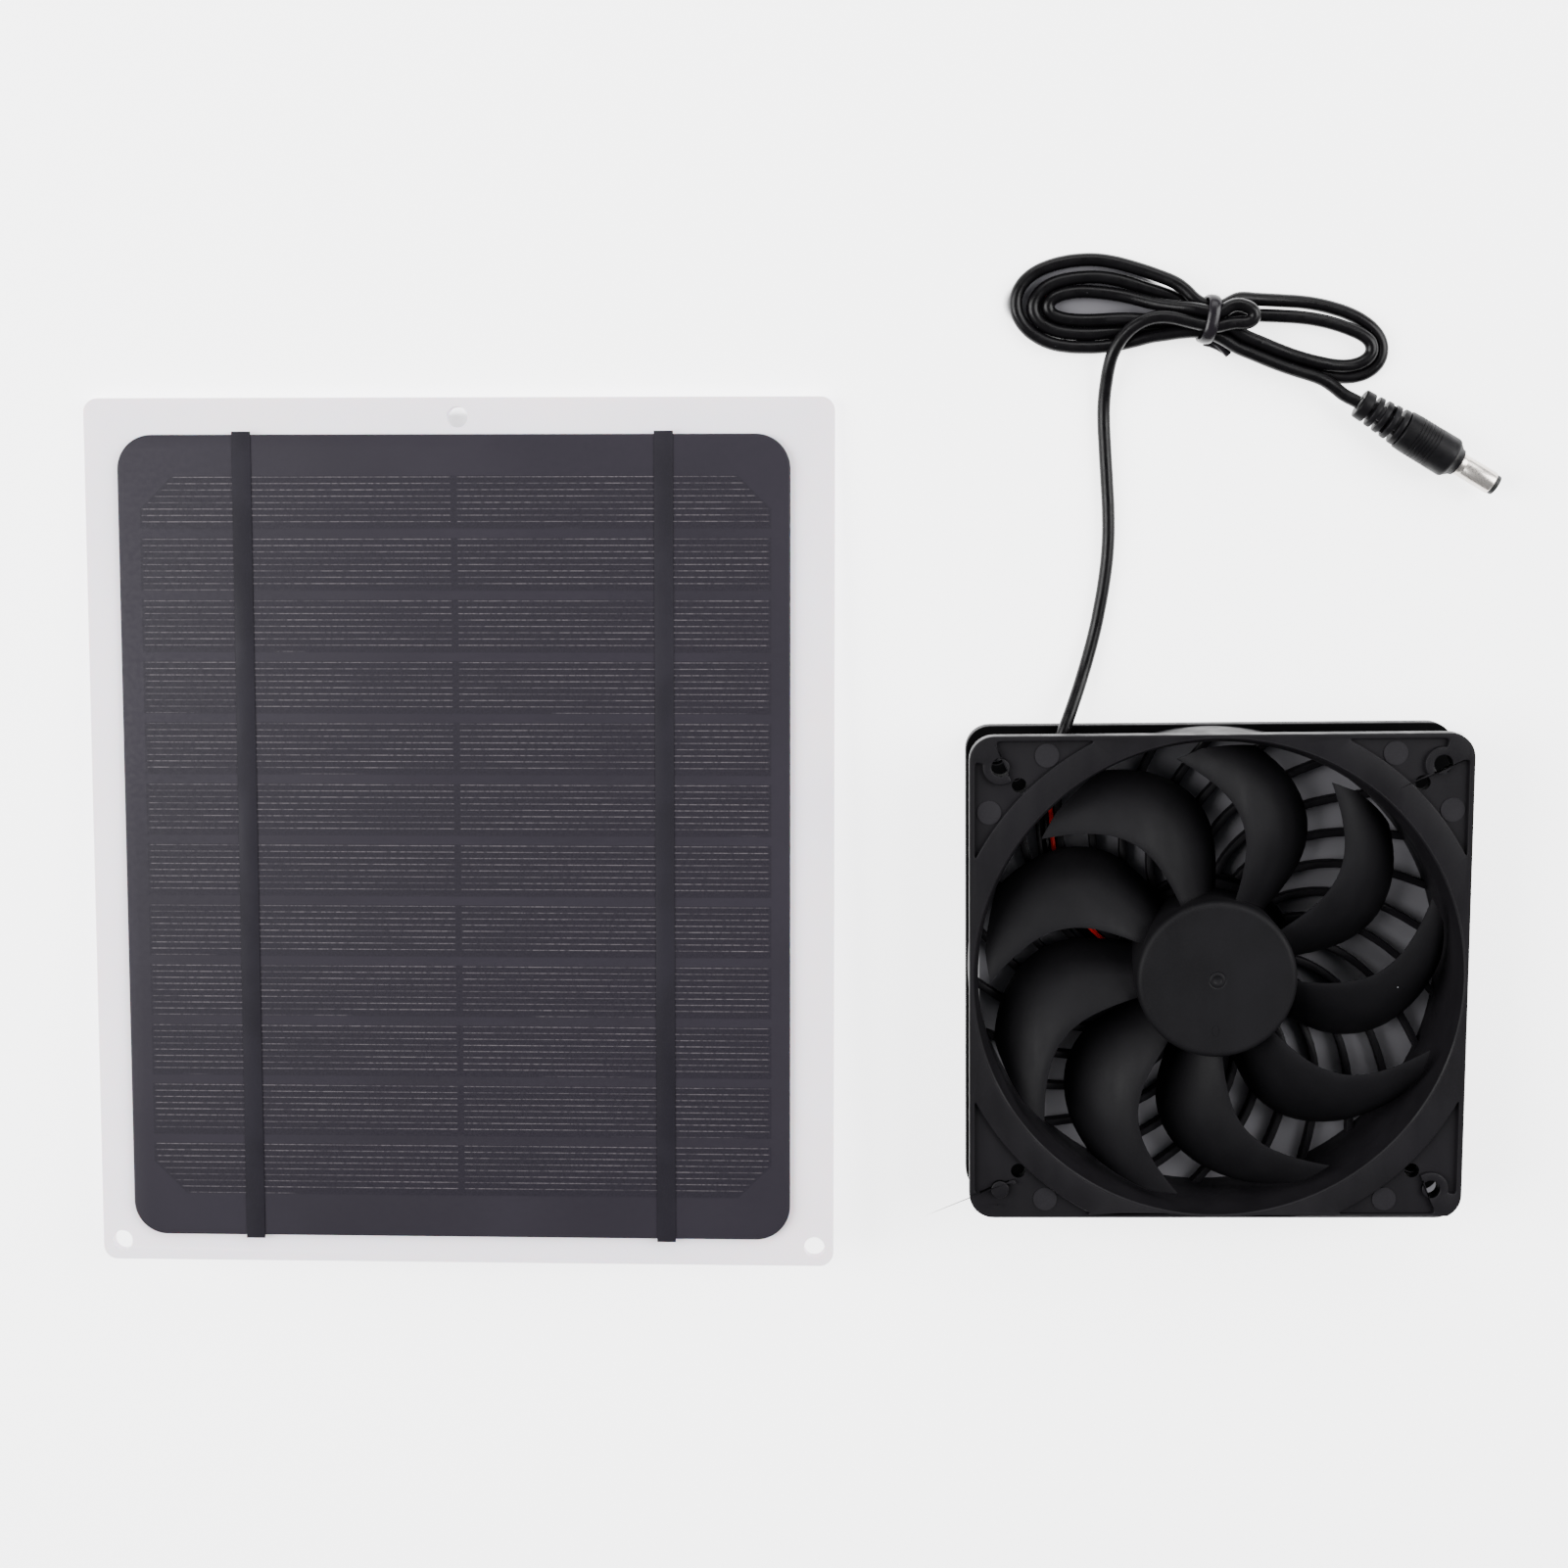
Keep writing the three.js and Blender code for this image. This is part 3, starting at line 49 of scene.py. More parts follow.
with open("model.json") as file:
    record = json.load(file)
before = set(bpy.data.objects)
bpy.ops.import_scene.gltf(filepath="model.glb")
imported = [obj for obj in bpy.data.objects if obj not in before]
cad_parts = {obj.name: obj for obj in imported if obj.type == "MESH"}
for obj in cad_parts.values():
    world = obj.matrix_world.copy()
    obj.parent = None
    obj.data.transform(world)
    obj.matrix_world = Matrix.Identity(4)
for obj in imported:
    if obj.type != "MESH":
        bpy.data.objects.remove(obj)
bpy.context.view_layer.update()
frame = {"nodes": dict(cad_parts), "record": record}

# The line that the middle of the lead follows, from the fan's corner to the plug, in millimetres.
# It was drawn and then eased apart until its runs lay on and beside each other.
LEAD_PATH = (
    (68.90, 12.60, 6.60), (71.74, 20.08, 6.80), (73.22, 23.79, 6.71), (74.65, 27.49, 6.20),
    (76.03, 31.14, 5.32), (77.35, 34.73, 4.14), (78.59, 38.36, 3.01), (79.75, 42.13, 2.35),
    (81.77, 49.85, 1.70), (82.55, 53.77, 1.68), (83.87, 61.66, 1.69), (84.67, 69.62, 1.70),
    (84.73, 77.62, 1.70), (84.30, 85.62, 1.70), (83.78, 93.60, 1.70), (83.38, 101.59, 1.78),
    (83.44, 105.56, 2.24), (83.78, 109.43, 3.17), (84.30, 113.23, 4.30), (85.02, 116.03, 5.07),
    (86.29, 118.65, 5.66), (88.10, 120.97, 6.11), (90.31, 122.87, 6.71), (92.90, 124.17, 7.34),
    (95.77, 124.74, 7.79), (98.72, 124.58, 8.07), (102.57, 123.68, 8.25), (106.42, 122.79, 8.20),
    (109.29, 122.35, 8.27), (112.10, 122.83, 8.59), (114.00, 123.07, 8.53), (114.96, 123.06, 8.50),
    (115.93, 123.07, 8.50), (116.87, 123.21, 8.53), (117.70, 123.61, 8.59), (118.24, 124.33, 8.65),
    (118.25, 125.23, 8.69), (117.77, 126.01, 8.69), (117.02, 126.58, 8.66), (116.16, 126.97, 8.61),
    (114.31, 127.34, 8.49), (112.54, 126.90, 8.38), (110.99, 125.91, 8.29), (109.21, 125.57, 8.20),
    (107.35, 125.87, 8.20), (103.62, 126.67, 7.67), (99.93, 127.16, 6.40), (96.26, 127.82, 5.04),
    (92.63, 128.82, 3.75), (88.95, 129.88, 2.69), (85.09, 130.66, 2.06), (81.15, 131.17, 1.81),
    (77.18, 131.34, 1.77), (74.24, 131.02, 1.79), (73.28, 130.80, 1.80), (72.35, 130.51, 1.80),
    (71.47, 130.11, 1.80), (70.67, 129.58, 1.80), (70.06, 128.85, 1.80), (69.80, 127.96, 1.80),
    (69.97, 127.05, 1.80), (70.51, 126.28, 1.79), (71.29, 125.74, 1.79), (73.13, 125.09, 1.78),
    (76.04, 124.63, 1.79), (80.00, 124.47, 1.97), (83.96, 124.57, 2.51), (87.87, 124.62, 3.32),
    (91.79, 124.39, 3.94), (95.73, 124.10, 4.38), (99.67, 124.20, 4.88), (103.60, 124.58, 5.22),
    (107.54, 124.26, 5.42), (110.44, 123.59, 5.39), (113.11, 122.30, 5.41), (116.49, 120.22, 5.55),
    (120.14, 118.67, 5.38), (127.48, 115.72, 4.69), (131.26, 114.51, 4.49), (135.11, 113.55, 4.17),
    (139.00, 112.86, 3.75), (141.96, 112.80, 3.50), (143.89, 113.16, 3.42), (144.82, 113.49, 3.41),
    (145.69, 113.94, 3.40), (146.45, 114.54, 3.41), (147.04, 115.31, 3.42), (147.36, 116.20, 3.43),
    (147.35, 117.15, 3.45), (147.04, 118.06, 3.45), (146.49, 118.85, 3.45), (144.96, 120.06, 3.42),
    (142.27, 121.32, 3.40), (138.53, 122.66, 3.40), (134.66, 123.66, 3.41), (130.72, 124.31, 3.36),
    (126.75, 124.67, 3.23), (118.80, 125.16, 2.83), (114.84, 125.45, 2.70), (110.87, 125.41, 2.65),
    (106.96, 126.05, 2.65), (104.20, 127.11, 2.62), (100.81, 129.18, 2.53), (97.13, 130.66, 2.31),
    (93.34, 131.88, 2.06), (89.55, 133.14, 1.88), (85.69, 134.17, 1.80), (81.74, 134.74, 1.79),
    (77.74, 134.70, 1.80), (73.77, 134.20, 1.80), (70.89, 133.37, 1.80), (69.14, 132.43, 1.80),
    (67.63, 131.14, 1.80), (66.52, 129.53, 1.80), (66.12, 127.63, 1.80), (66.60, 125.76, 1.80),
    (67.80, 124.23, 1.80), (69.42, 123.12, 1.80), (72.16, 122.02, 1.80), (76.06, 121.41, 1.77),
    (80.01, 121.26, 1.71), (83.97, 121.45, 1.70), (91.94, 122.08, 1.70), (95.94, 122.15, 1.72),
    (99.91, 122.18, 1.99), (103.80, 122.82, 2.46), (106.75, 122.80, 2.65), (109.65, 122.16, 2.61),
    (113.30, 120.60, 2.49), (116.85, 118.81, 2.34), (120.56, 117.35, 2.11), (127.91, 114.21, 1.70),
    (135.36, 111.28, 1.70), (139.24, 110.32, 1.71), (142.22, 110.12, 1.75), (145.16, 110.57, 1.79),
    (146.98, 111.34, 1.80), (148.54, 112.55, 1.80), (149.64, 114.17, 1.79), (150.12, 116.07, 1.77),
    (149.94, 118.02, 1.75), (149.15, 119.82, 1.76), (147.92, 121.38, 1.78), (145.63, 123.27, 1.79),
    (142.12, 125.16, 1.79), (138.36, 126.49, 1.81), (134.48, 127.47, 1.90), (130.55, 128.09, 2.11),
    (126.59, 128.40, 2.45), (118.76, 128.89, 3.57), (116.85, 129.06, 3.95), (114.98, 128.94, 4.39),
    (113.27, 128.24, 4.86), (111.61, 127.39, 5.22), (109.76, 127.15, 5.42), (107.86, 127.46, 5.45),
    (106.03, 128.03, 5.40), (104.44, 129.11, 5.24), (102.41, 131.17, 4.78), (100.09, 132.91, 4.25),
    (96.54, 134.53, 3.54), (89.13, 137.17, 2.27), (85.29, 138.20, 1.93), (81.34, 138.80, 1.80),
    (77.35, 138.82, 1.79), (73.39, 138.35, 1.80), (69.53, 137.33, 1.80), (66.80, 136.12, 1.80),
    (64.41, 134.36, 1.80), (63.16, 132.82, 1.80), (62.30, 131.04, 1.80), (61.95, 129.10, 1.80),
    (62.13, 127.14, 1.80), (62.79, 125.27, 1.80), (64.50, 122.84, 1.80), (66.81, 120.94, 1.80),
    (70.42, 119.19, 1.80), (74.38, 118.37, 1.82), (78.44, 118.11, 1.88), (82.52, 118.15, 2.03),
    (86.52, 118.60, 2.46), (90.34, 119.34, 3.52), (94.14, 120.25, 4.29), (98.03, 120.77, 4.74),
    (101.92, 121.22, 5.19), (105.84, 121.27, 5.39), (108.75, 120.72, 5.40), (111.45, 119.54, 5.36),
    (114.84, 117.48, 5.21), (118.49, 115.91, 5.05), (125.89, 112.91, 4.84), (129.66, 111.64, 4.70),
    (133.41, 110.43, 4.60), (136.09, 109.27, 4.57), (138.45, 107.64, 4.61), (140.67, 105.88, 4.80),
    (144.10, 104.05, 5.10),
)


class Body(str, Enum):
    FAN = "fan_unit"
    ROTOR = "rotor"
    PANEL = "panel"


# ------------------------------------------------------------------------------ shader building


class Shader:
    """One material's node tree, with a Principled surface at its end."""

    def __init__(self, name: str) -> None:
        """Starts a material.

        Args:
            name: The material's name.
        """
        self.material = bpy.data.materials.new(name)
        self.material.use_nodes = True
        self.tree = self.material.node_tree
        self.surface = next(n for n in self.tree.nodes if n.type == "BSDF_PRINCIPLED")

    def set(self, **values: object) -> None:
        """Sets plain values on the surface.

        Args:
            values: Socket names with underscores for spaces, and their values.
        """
        for key, value in values.items():
            self.surface.inputs[key.replace("_", " ")].default_value = value

    def node(self, kind: str, **settings: object) -> bpy.types.Node:
        """Adds a node.

        Args:
            kind: The node's type name.
            settings: Attributes to set on it.

        Returns:
            The new node.
        """
        made = self.tree.nodes.new(kind)
        for key, value in settings.items():
            setattr(made, key, value)
        return made

    def feed(self, socket: bpy.types.NodeSocket, value: object) -> None:
        """Puts a value or another node's output into a socket.

        Args:
            socket: The input.
            value: A number, a colour or an output socket.
        """
        if isinstance(value, bpy.types.NodeSocket):
            self.tree.links.new(value, socket)
        else:
            socket.default_value = value

    def place(self) -> bpy.types.NodeSocket:
        """Returns the position on the piece in metres."""
        return self.node("ShaderNodeTexCoord").outputs["Object"]

    def uv(self) -> bpy.types.NodeSocket:
        """Returns the position in the piece's own flat map."""
        return self.node("ShaderNodeUVMap", uv_map="flat").outputs["UV"]

    def stretched(self, vector: bpy.types.NodeSocket, scale: Sequence[float]) -> bpy.types.NodeSocket:
        """Scales a coordinate along its axes.

        Args:
            vector: The coordinate.
            scale: Three factors.

        Returns:
            The scaled coordinate.
        """
        mapping = self.node("ShaderNodeMapping")
        self.feed(mapping.inputs["Vector"], vector)
        mapping.inputs["Scale"].default_value = tuple(scale)
        return mapping.outputs["Vector"]

    def noise(self, size: float, detail: float = 3.0, vector: bpy.types.NodeSocket | None = None,
              rough: float = 0.5) -> bpy.types.NodeSocket:
        """Adds soft noise.

        Args:
            size: The pattern's size in metres, or in map units.
            detail: How many finer layers it has.
            vector: The coordinate, or None for the position on the piece.
            rough: How strong the finer layers are.

        Returns:
            A value from 0 to 1.
        """
        made = self.node("ShaderNodeTexNoise")
        self.feed(made.inputs["Vector"], vector or self.place())
        made.inputs["Scale"].default_value = 1.0 / size
        made.inputs["Detail"].default_value = detail
        made.inputs["Roughness"].default_value = rough
        return made.outputs["Fac"]

    def cells(self, size: float, vector: bpy.types.NodeSocket | None = None) -> bpy.types.Node:
        """Adds a pattern of scattered points.

        Args:
            size: The spacing of the points in metres.
            vector: The coordinate, or None for the position on the piece.

        Returns:
            The node, with its Distance and Color outputs.
        """
        made = self.node("ShaderNodeTexVoronoi")
        self.feed(made.inputs["Vector"], vector or self.place())
        made.inputs["Scale"].default_value = 1.0 / size
        return made

    def math(self, operation: str, a: object, b: object = 0.0, c: object = 0.0) -> bpy.types.NodeSocket:
        """Adds a sum.

        Args:
            operation: The operation's name.
            a: The first value or socket.
            b: The second.
            c: The third, for the operations that take one.

        Returns:
            The result.
        """
        made = self.node("ShaderNodeMath", operation=operation)
        for socket, value in zip(made.inputs, (a, b, c)):
            self.feed(socket, value)
        return made.outputs[0]

    def product(self, first: object, *others: object) -> bpy.types.NodeSocket:
        """Multiplies several values.

        Args:
            first: The first value or socket.
            others: The others.

        Returns:
            The product.
        """
        for other in others:
            first = self.math("MULTIPLY", first, other)
        return first

    def step(self, value: object, low: float, high: float, out: tuple[float, float] = (0.0, 1.0)
             ) -> bpy.types.NodeSocket:
        """Maps a range smoothly onto another.

        Args:
            value: The input.
            low: Where the range starts.
            high: Where it ends.
            out: The two results.

        Returns:
            The mapped value.
        """
        made = self.node("ShaderNodeMapRange", interpolation_type="SMOOTHSTEP")
        for name, given in (("Value", value), ("From Min", low), ("From Max", high),
                            ("To Min", out[0]), ("To Max", out[1])):
            self.feed(made.inputs[name], given)
        return made.outputs["Result"]

    def blend(self, share: object, a: object, b: object) -> bpy.types.NodeSocket:
        """Blends two colours.

        Args:
            share: How much of b, from 0 to 1.
            a: A colour or socket.
            b: A colour or socket.

        Returns:
            The blended colour.
        """
        made = self.node("ShaderNodeMix", data_type="RGBA")
        self.feed(made.inputs["Factor"], share)
        colours = [s for s in made.inputs if s.type == "RGBA"]
        for socket, value in zip(colours, (a, b)):
            self.feed(socket, (*value, 1.0) if isinstance(value, tuple) and len(value) == 3 else value)
        return next(s for s in made.outputs if s.type == "RGBA")

    def bumps(self, *layers: tuple[object, float]) -> None:
        """Raises the surface by height patterns.

        Args:
            layers: Pairs of a height pattern from 0 to 1 and its depth in metres.
        """
        normal = None
        for height, depth in layers:
            made = self.node("ShaderNodeBump")
            made.inputs["Strength"].default_value = 1.0
            made.inputs["Distance"].default_value = depth
            self.feed(made.inputs["Height"], height)
            if normal is not None:
                self.feed(made.inputs["Normal"], normal)
            normal = made.outputs["Normal"]
        self.feed(self.surface.inputs["Normal"], normal)

    def mottle(self, pattern: object, base: Colour, dark: float, light: float, low: float = 0.3,
               high: float = 0.7) -> bpy.types.NodeSocket:
        """Varies a colour by a pattern.

        Args:
            pattern: The pattern.
            base: The colour.
            dark: The factor where the pattern is low.
            light: The factor where it is high.
            low: Where the change starts.
            high: Where it ends.

        Returns:
            The varied colour.
        """
        return self.blend(self.step(pattern, low, high), tinted(base, dark), tinted(base, light))

    def axes(self, vector: bpy.types.NodeSocket) -> bpy.types.NodeOutputs:
        """Returns the X, Y and Z outputs of a coordinate."""
        split = self.node("ShaderNodeSeparateXYZ")
        self.feed(split.inputs[0], vector)
        return split.outputs

    def colour(self, value: object) -> None:
        """Feeds the base colour.

        Args:
            value: A colour or socket.
        """
        self.feed(self.surface.inputs["Base Color"], value)

    def sheen(self, pattern: object, span: tuple[float, float]) -> None:
        """Varies the roughness by a pattern.

        Args:
            pattern: The pattern.
            span: The lowest and highest roughness.
        """
        self.feed(self.surface.inputs["Roughness"], self.step(pattern, 0.3, 0.7, span))


def tinted(colour: Colour, factor: float) -> Colour:
    """Returns a colour made lighter or darker by a factor."""
    return tuple(min(1.0, c * factor) for c in colour)


@dataclass(frozen=True)
class Finish:
    """A surface finish that belongs to one material slot of the record."""

    slot: str

    def build(self) -> bpy.types.Material:
        """Returns the finish's material."""
        raise NotImplementedError


@dataclass(frozen=True)
class MouldedPlastic(Finish):
    """Moulded plastic with a fine grain, slow changes of sheen and a little dust."""

    base: Colour = (0.007, 0.0067, 0.0076)
    sheen: tuple[float, float] = (0.46, 0.6)
    grain: float = 0.35 * MM
    depth: float = 0.006 * MM
    shine: float = 0.22
    dust: float = 0.0

    def build(self) -> bpy.types.Material:
        """Returns the finish's material."""
        s = Shader(self.slot)
        slow = s.noise(18 * MM, 4)
        fine = s.noise(self.grain, 2)
        body = s.mottle(slow, self.base, 0.85, 1.2)
        body = s.blend(s.step(fine, 0.45, 0.75, (0.0, 0.35)), body, tinted(self.base, 1.6))
        if self.dust > 0:
            specks = s.cells(7 * MM)
            near = s.step(specks.outputs["Distance"], 0.012, 0.03, (1.0, 0.0))
            pick = s.node("ShaderNodeSeparateColor")
            s.feed(pick.inputs["Color"], specks.outputs["Color"])
            chosen = s.math("LESS_THAN", pick.outputs[0], self.dust)
            body = s.blend(s.product(near, chosen), body, (0.35, 0.35, 0.37))
        s.colour(body)
        rub = s.noise(5 * MM, 5, s.stretched(s.place(), (1.0, 0.25, 1.0)))
        s.sheen(rub, self.sheen)
        s.set(Specular_IOR_Level=self.shine)
        s.bumps((fine, self.depth), (slow, 0.05 * MM))
        return s.material


@dataclass(frozen=True)
class SoftJacket(Finish):
    """Extruded soft plastic on a cord: satin, with a faintly uneven sheen and surface, and lint."""

    base: Colour = (0.0016, 0.0014, 0.0017)
    sheen: tuple[float, float] = (0.25, 0.36)
    shine: float = 0.13

    def build(self) -> bpy.types.Material:
        """Returns the finish's material."""
        s = Shader(self.slot)
        slow = s.noise(9 * MM, 3)
        fine = s.noise(0.5 * MM, 3)
        body = s.mottle(slow, self.base, 0.8, 1.3, 0.35, 0.65)
        lint = s.cells(3.4 * MM)
        speck = s.step(lint.outputs["Distance"], 0.015, 0.04, (0.5, 0.0))
        s.colour(s.blend(speck, body, (0.16, 0.16, 0.17)))
        s.sheen(s.noise(2.2 * MM, 4), self.sheen)
        s.set(Specular_IOR_Level=self.shine)
        s.bumps((slow, 0.08 * MM), (fine, 0.008 * MM))
        return s.material


@dataclass(frozen=True)
class Metal(Finish):
    """Bare or plated metal with fine machining marks."""

    base: Colour = (0.6, 0.6, 0.62)
    sheen: tuple[float, float] = (0.25, 0.4)
    marks: float = 0.25 * MM

    def build(self) -> bpy.types.Material:
        """Returns the finish's material."""
        s = Shader(self.slot)
        slow = s.noise(6 * MM, 4)
        fine = s.noise(self.marks, 2, s.stretched(s.place(), (1.0, 1.0, 4.0)))
        s.colour(s.mottle(slow, self.base, 0.85, 1.1, 0.3, 0.75))
        s.sheen(fine, self.sheen)
        s.set(Metallic=1.0)
        s.bumps((fine, 0.004 * MM))
        return s.material


@dataclass(frozen=True)
class WoundCopper(Finish):
    """Enamelled wire laid in close turns, with painted shade in the grooves between them and a painted
    highlight on their crests.
    """

    base: Colour = (0.55, 0.22, 0.09)
    turn: float = 0.24 * MM

    def build(self) -> bpy.types.Material:
        """Returns the finish's material."""
        s = Shader(self.slot)
        wave = s.math("SINE", s.math("MULTIPLY", s.axes(s.place())["Z"], 2 * math.pi / self.turn))
        groove = s.math("MULTIPLY_ADD", wave, 0.5, 0.5)
        # Painted shade and highlight: darker in the grooves between turns, lighter on their crests.
        s.colour(s.blend(groove, tinted(self.base, 0.45), tinted(self.base, 1.15)))
        s.sheen(s.noise(1.5 * MM), (0.28, 0.42))
        s.set(Metallic=0.8)
        s.bumps((groove, 0.05 * MM))
        return s.material


@dataclass(frozen=True)
class FrostedPlate(Finish):
    """A milky plate with a fine frosted face, faint smears and hairline scratches."""

    base: Colour = (0.84, 0.805, 0.875)

    def build(self) -> bpy.types.Material:
        """Returns the finish's material."""
        s = Shader(self.slot)
        slow = s.noise(45 * MM, 4)
        fine = s.noise(0.4 * MM, 3)
        body = s.mottle(slow, self.base, 0.97, 1.03)
        warm = s.step(s.noise(30 * MM, 2), 0.45, 0.75, (0.0, 0.5))
        body = s.blend(warm, body, (0.86, 0.80, 0.83))
        hair = s.noise(6 * MM, 2, s.stretched(s.place(), (1.0, 6.0, 1.0)))
        line = s.step(s.math("ABSOLUTE", s.math("SUBTRACT", hair, 0.5)), 0.0, 0.004, (0.16, 0.0))
        s.colour(s.blend(line, body, (0.95, 0.94, 0.96)))
        s.sheen(fine, (0.42, 0.55))
        s.set(Subsurface_Weight=0.25, Subsurface_Scale=3 * MM, Specular_IOR_Level=0.45)
        s.bumps((fine, 0.012 * MM))
        return s.material


@dataclass(frozen=True)
class FingeredLaminate(Finish):
    """Black laminate with rows of cells under a frosted film.

    The map's units are tenths of a metre from the middle of the panel's plate.
    """

    dark: Colour = (0.0155, 0.0135, 0.0182)
    silicon: Colour = (0.0122, 0.0106, 0.0146)
    silver: Colour = (0.068, 0.061, 0.067)
    rows: int = 12
    pitch: float = 15.16
    height: float = 13.0
    width: float = 156.0
    cut: float = 8.2
    shift: tuple[float, float] = (-0.7, -0.7)
    first_finger: float = 0.35
    finger_pitch: float = 1.555
    fingers: int = 9
    unit: float = 100.0

    def build(self) -> bpy.types.Material:
        """Returns the finish's material."""
        s = Shader(self.slot)
        flat = s.axes(s.uv())
        x = s.math("ABSOLUTE", s.math("MULTIPLY_ADD", flat["X"], self.unit, -self.shift[0]))
        y = s.math("MULTIPLY_ADD", flat["Y"], self.unit, -self.shift[1])
        gap = (self.pitch - self.height) / 2
        top = self.pitch * self.rows / 2
        down = s.math("SUBTRACT", top, y)
        row = s.math("FLOOR", s.math("DIVIDE", down, self.pitch))
        local = s.math("SUBTRACT", s.math("SUBTRACT", down, s.math("MULTIPLY", row, self.pitch)), gap)
        inset = s.math("SUBTRACT", top - gap, s.math("ABSOLUTE", y))
        corner = s.math("MAXIMUM", s.math("SUBTRACT", self.cut, inset), 0.0)
        edge = s.math("SUBTRACT", s.math("SUBTRACT", self.width / 2, corner), x)
        inside = s.product(s.step(edge, -0.1, 0.25), s.step(local, -0.15, 0.1),
                           s.step(local, self.height - 0.1, self.height + 0.15, (1.0, 0.0)),
                           s.step(inset, -0.3, -0.05))
        turn = s.math("DIVIDE", s.math("SUBTRACT", local, self.first_finger), self.finger_pitch)
        off = s.math("ABSOLUTE", s.math("SUBTRACT", s.math("FRACT", s.math("ADD", turn, 0.5)), 0.5))
        line = s.step(off, 0.04, 0.11, (1.0, 0.0))
        count = s.math("FLOOR", s.math("ADD", turn, 0.5))
        seed = s.node("ShaderNodeCombineXYZ")
        s.feed(seed.inputs["X"], s.math("MULTIPLY", flat["X"], self.unit))
        s.feed(seed.inputs["Y"], s.math("MULTIPLY", s.math("ADD", count, s.math("MULTIPLY", row, 13.0)), 7.3))
        dash = s.step(s.noise(1.1, 2, seed.outputs[0], 0.6), 0.34, 0.6, (0.25, 1.0))
        long = s.step(s.noise(26.0, 2, seed.outputs[0]), 0.3, 0.65, (0.35, 1.0))
        last = s.step(count, self.fingers - 1.6, self.fingers - 1.4, (1.0, 0.0))
        rare = s.step(s.noise(60.0, 2, seed.outputs[0]), 0.55, 0.6)
        kept = s.math("MAXIMUM", last, s.math("MULTIPLY", rare, 0.6))
        mask = s.product(line, dash, long, inside, s.step(x, 0.7, 1.0), kept, s.step(edge, 0.3, 1.2))
        weave = s.noise(0.5, 2, s.stretched(s.uv(), (self.unit, self.unit, 1.0)))
        film = s.noise(0.012, 3, s.uv())
        slow = s.noise(0.5, 3, s.uv())
        margin = s.mottle(slow, self.dark, 0.92, 1.08)
        wafer = s.mottle(weave, self.silicon, 0.9, 1.12, 0.35, 0.65)
        body = s.blend(inside, margin, wafer)
        s.colour(s.blend(mask, body, self.silver))
        s.sheen(film, (0.42, 0.56))
        s.set(Specular_IOR_Level=0.09)
        grain = s.product(inside, s.step(weave, 0.3, 0.7))
        s.bumps((grain, 0.008 * MM), (film, 0.004 * MM), (mask, 0.02 * MM))
        return s.material


@dataclass(frozen=True)
class MaskedBoard(Finish):
    """A circuit board under green mask, with faint tracks."""

    base: Colour = (0.012, 0.09, 0.035)

    def build(self) -> bpy.types.Material:
        """Returns the finish's material."""
        s = Shader(self.slot)
        tracks = s.cells(2.2 * MM)
        line = s.step(tracks.outputs["Distance"], 0.35, 0.45)
        s.colour(s.blend(line, self.base, tinted(self.base, 1.7)))
        s.sheen(s.noise(3 * MM), (0.25, 0.4))
        s.bumps((line, 0.03 * MM))
        return s.material


PLAIN_FINISHES: tuple[Finish, ...] = (
    MouldedPlastic("frame_plastic", base=(0.0042, 0.0038, 0.0046), shine=0.1, dust=0.03),
    MouldedPlastic("rotor_plastic", base=(0.0042, 0.004, 0.0046), sheen=(0.5, 0.62), shine=0.07, dust=0.05),
    # Near-black plastic with almost no shine: painted shade for the frame's gap faces and hole walls.
    MouldedPlastic("gap_painted_shade", base=(0.0008, 0.0008, 0.0009), sheen=(0.6, 0.7), shine=0.02, dust=0.01),
    MouldedPlastic("pin_mark", base=(0.0085, 0.0079, 0.0092), shine=0.1, dust=0.03),
    MouldedPlastic("box_plastic", base=(0.012, 0.012, 0.013), grain=0.6 * MM, depth=0.012 * MM),
    MouldedPlastic("chip_resin", base=(0.012, 0.012, 0.012), sheen=(0.4, 0.55)),
    MouldedPlastic("nylon", base=(0.74, 0.7, 0.6), sheen=(0.4, 0.55)),
    MouldedPlastic("ferrite", base=(0.03, 0.03, 0.032), sheen=(0.6, 0.8), grain=0.2 * MM),
    MouldedPlastic("tape", base=(0.0095, 0.0085, 0.0116), sheen=(0.5, 0.62), shine=0.08,
                   grain=0.25 * MM, depth=0.003 * MM),
    MouldedPlastic("label_foil", base=(0.5, 0.5, 0.51), sheen=(0.35, 0.5)),
    SoftJacket("cord_jacket"),
    SoftJacket("tie_plastic", base=(0.006, 0.005, 0.0065), sheen=(0.2, 0.32), shine=0.2),
    SoftJacket("plug_moulding", base=(0.003, 0.0028, 0.0033), sheen=(0.36, 0.5), shine=0.09),
    SoftJacket("red_insulation", base=(0.45, 0.012, 0.01), sheen=(0.25, 0.35)),
    Metal("steel", base=(0.58, 0.58, 0.6)),
    Metal("lamination_steel", base=(0.36, 0.37, 0.39), sheen=(0.4, 0.6)),
    Metal("brass", base=(0.75, 0.55, 0.25)),
    Metal("nickel_plate", base=(0.62, 0.575, 0.53), sheen=(0.24, 0.36)),
    Metal("aluminium_can", base=(0.75, 0.75, 0.76)),
    WoundCopper("copper"),
    FrostedPlate("frosted_plate"),
    FingeredLaminate("laminate"),
    MaskedBoard("circuit_board"),
)


class FinishBook:
    def __init__(self, finishes: Iterable[Finish]) -> None:
        """Builds every material.

        Args:
            finishes: The finishes to build.
        """
        self.materials = {finish.slot: finish.build() for finish in finishes}
        self.materials["cell_silicon"] = self.materials["laminate"]

    def wear(self, obj: bpy.types.Object, slot: str, finish: str | None = None) -> None:
        """Puts a finish on a piece.

        Args:
            obj: The piece.
            slot: The record's material slot.
            finish: The finish, if it isn't the one named after the slot.
        """
        obj.data.materials.clear()
        obj.data.materials.append(self.materials[finish or slot])


# ------------------------------------------------------------------------------ shape building


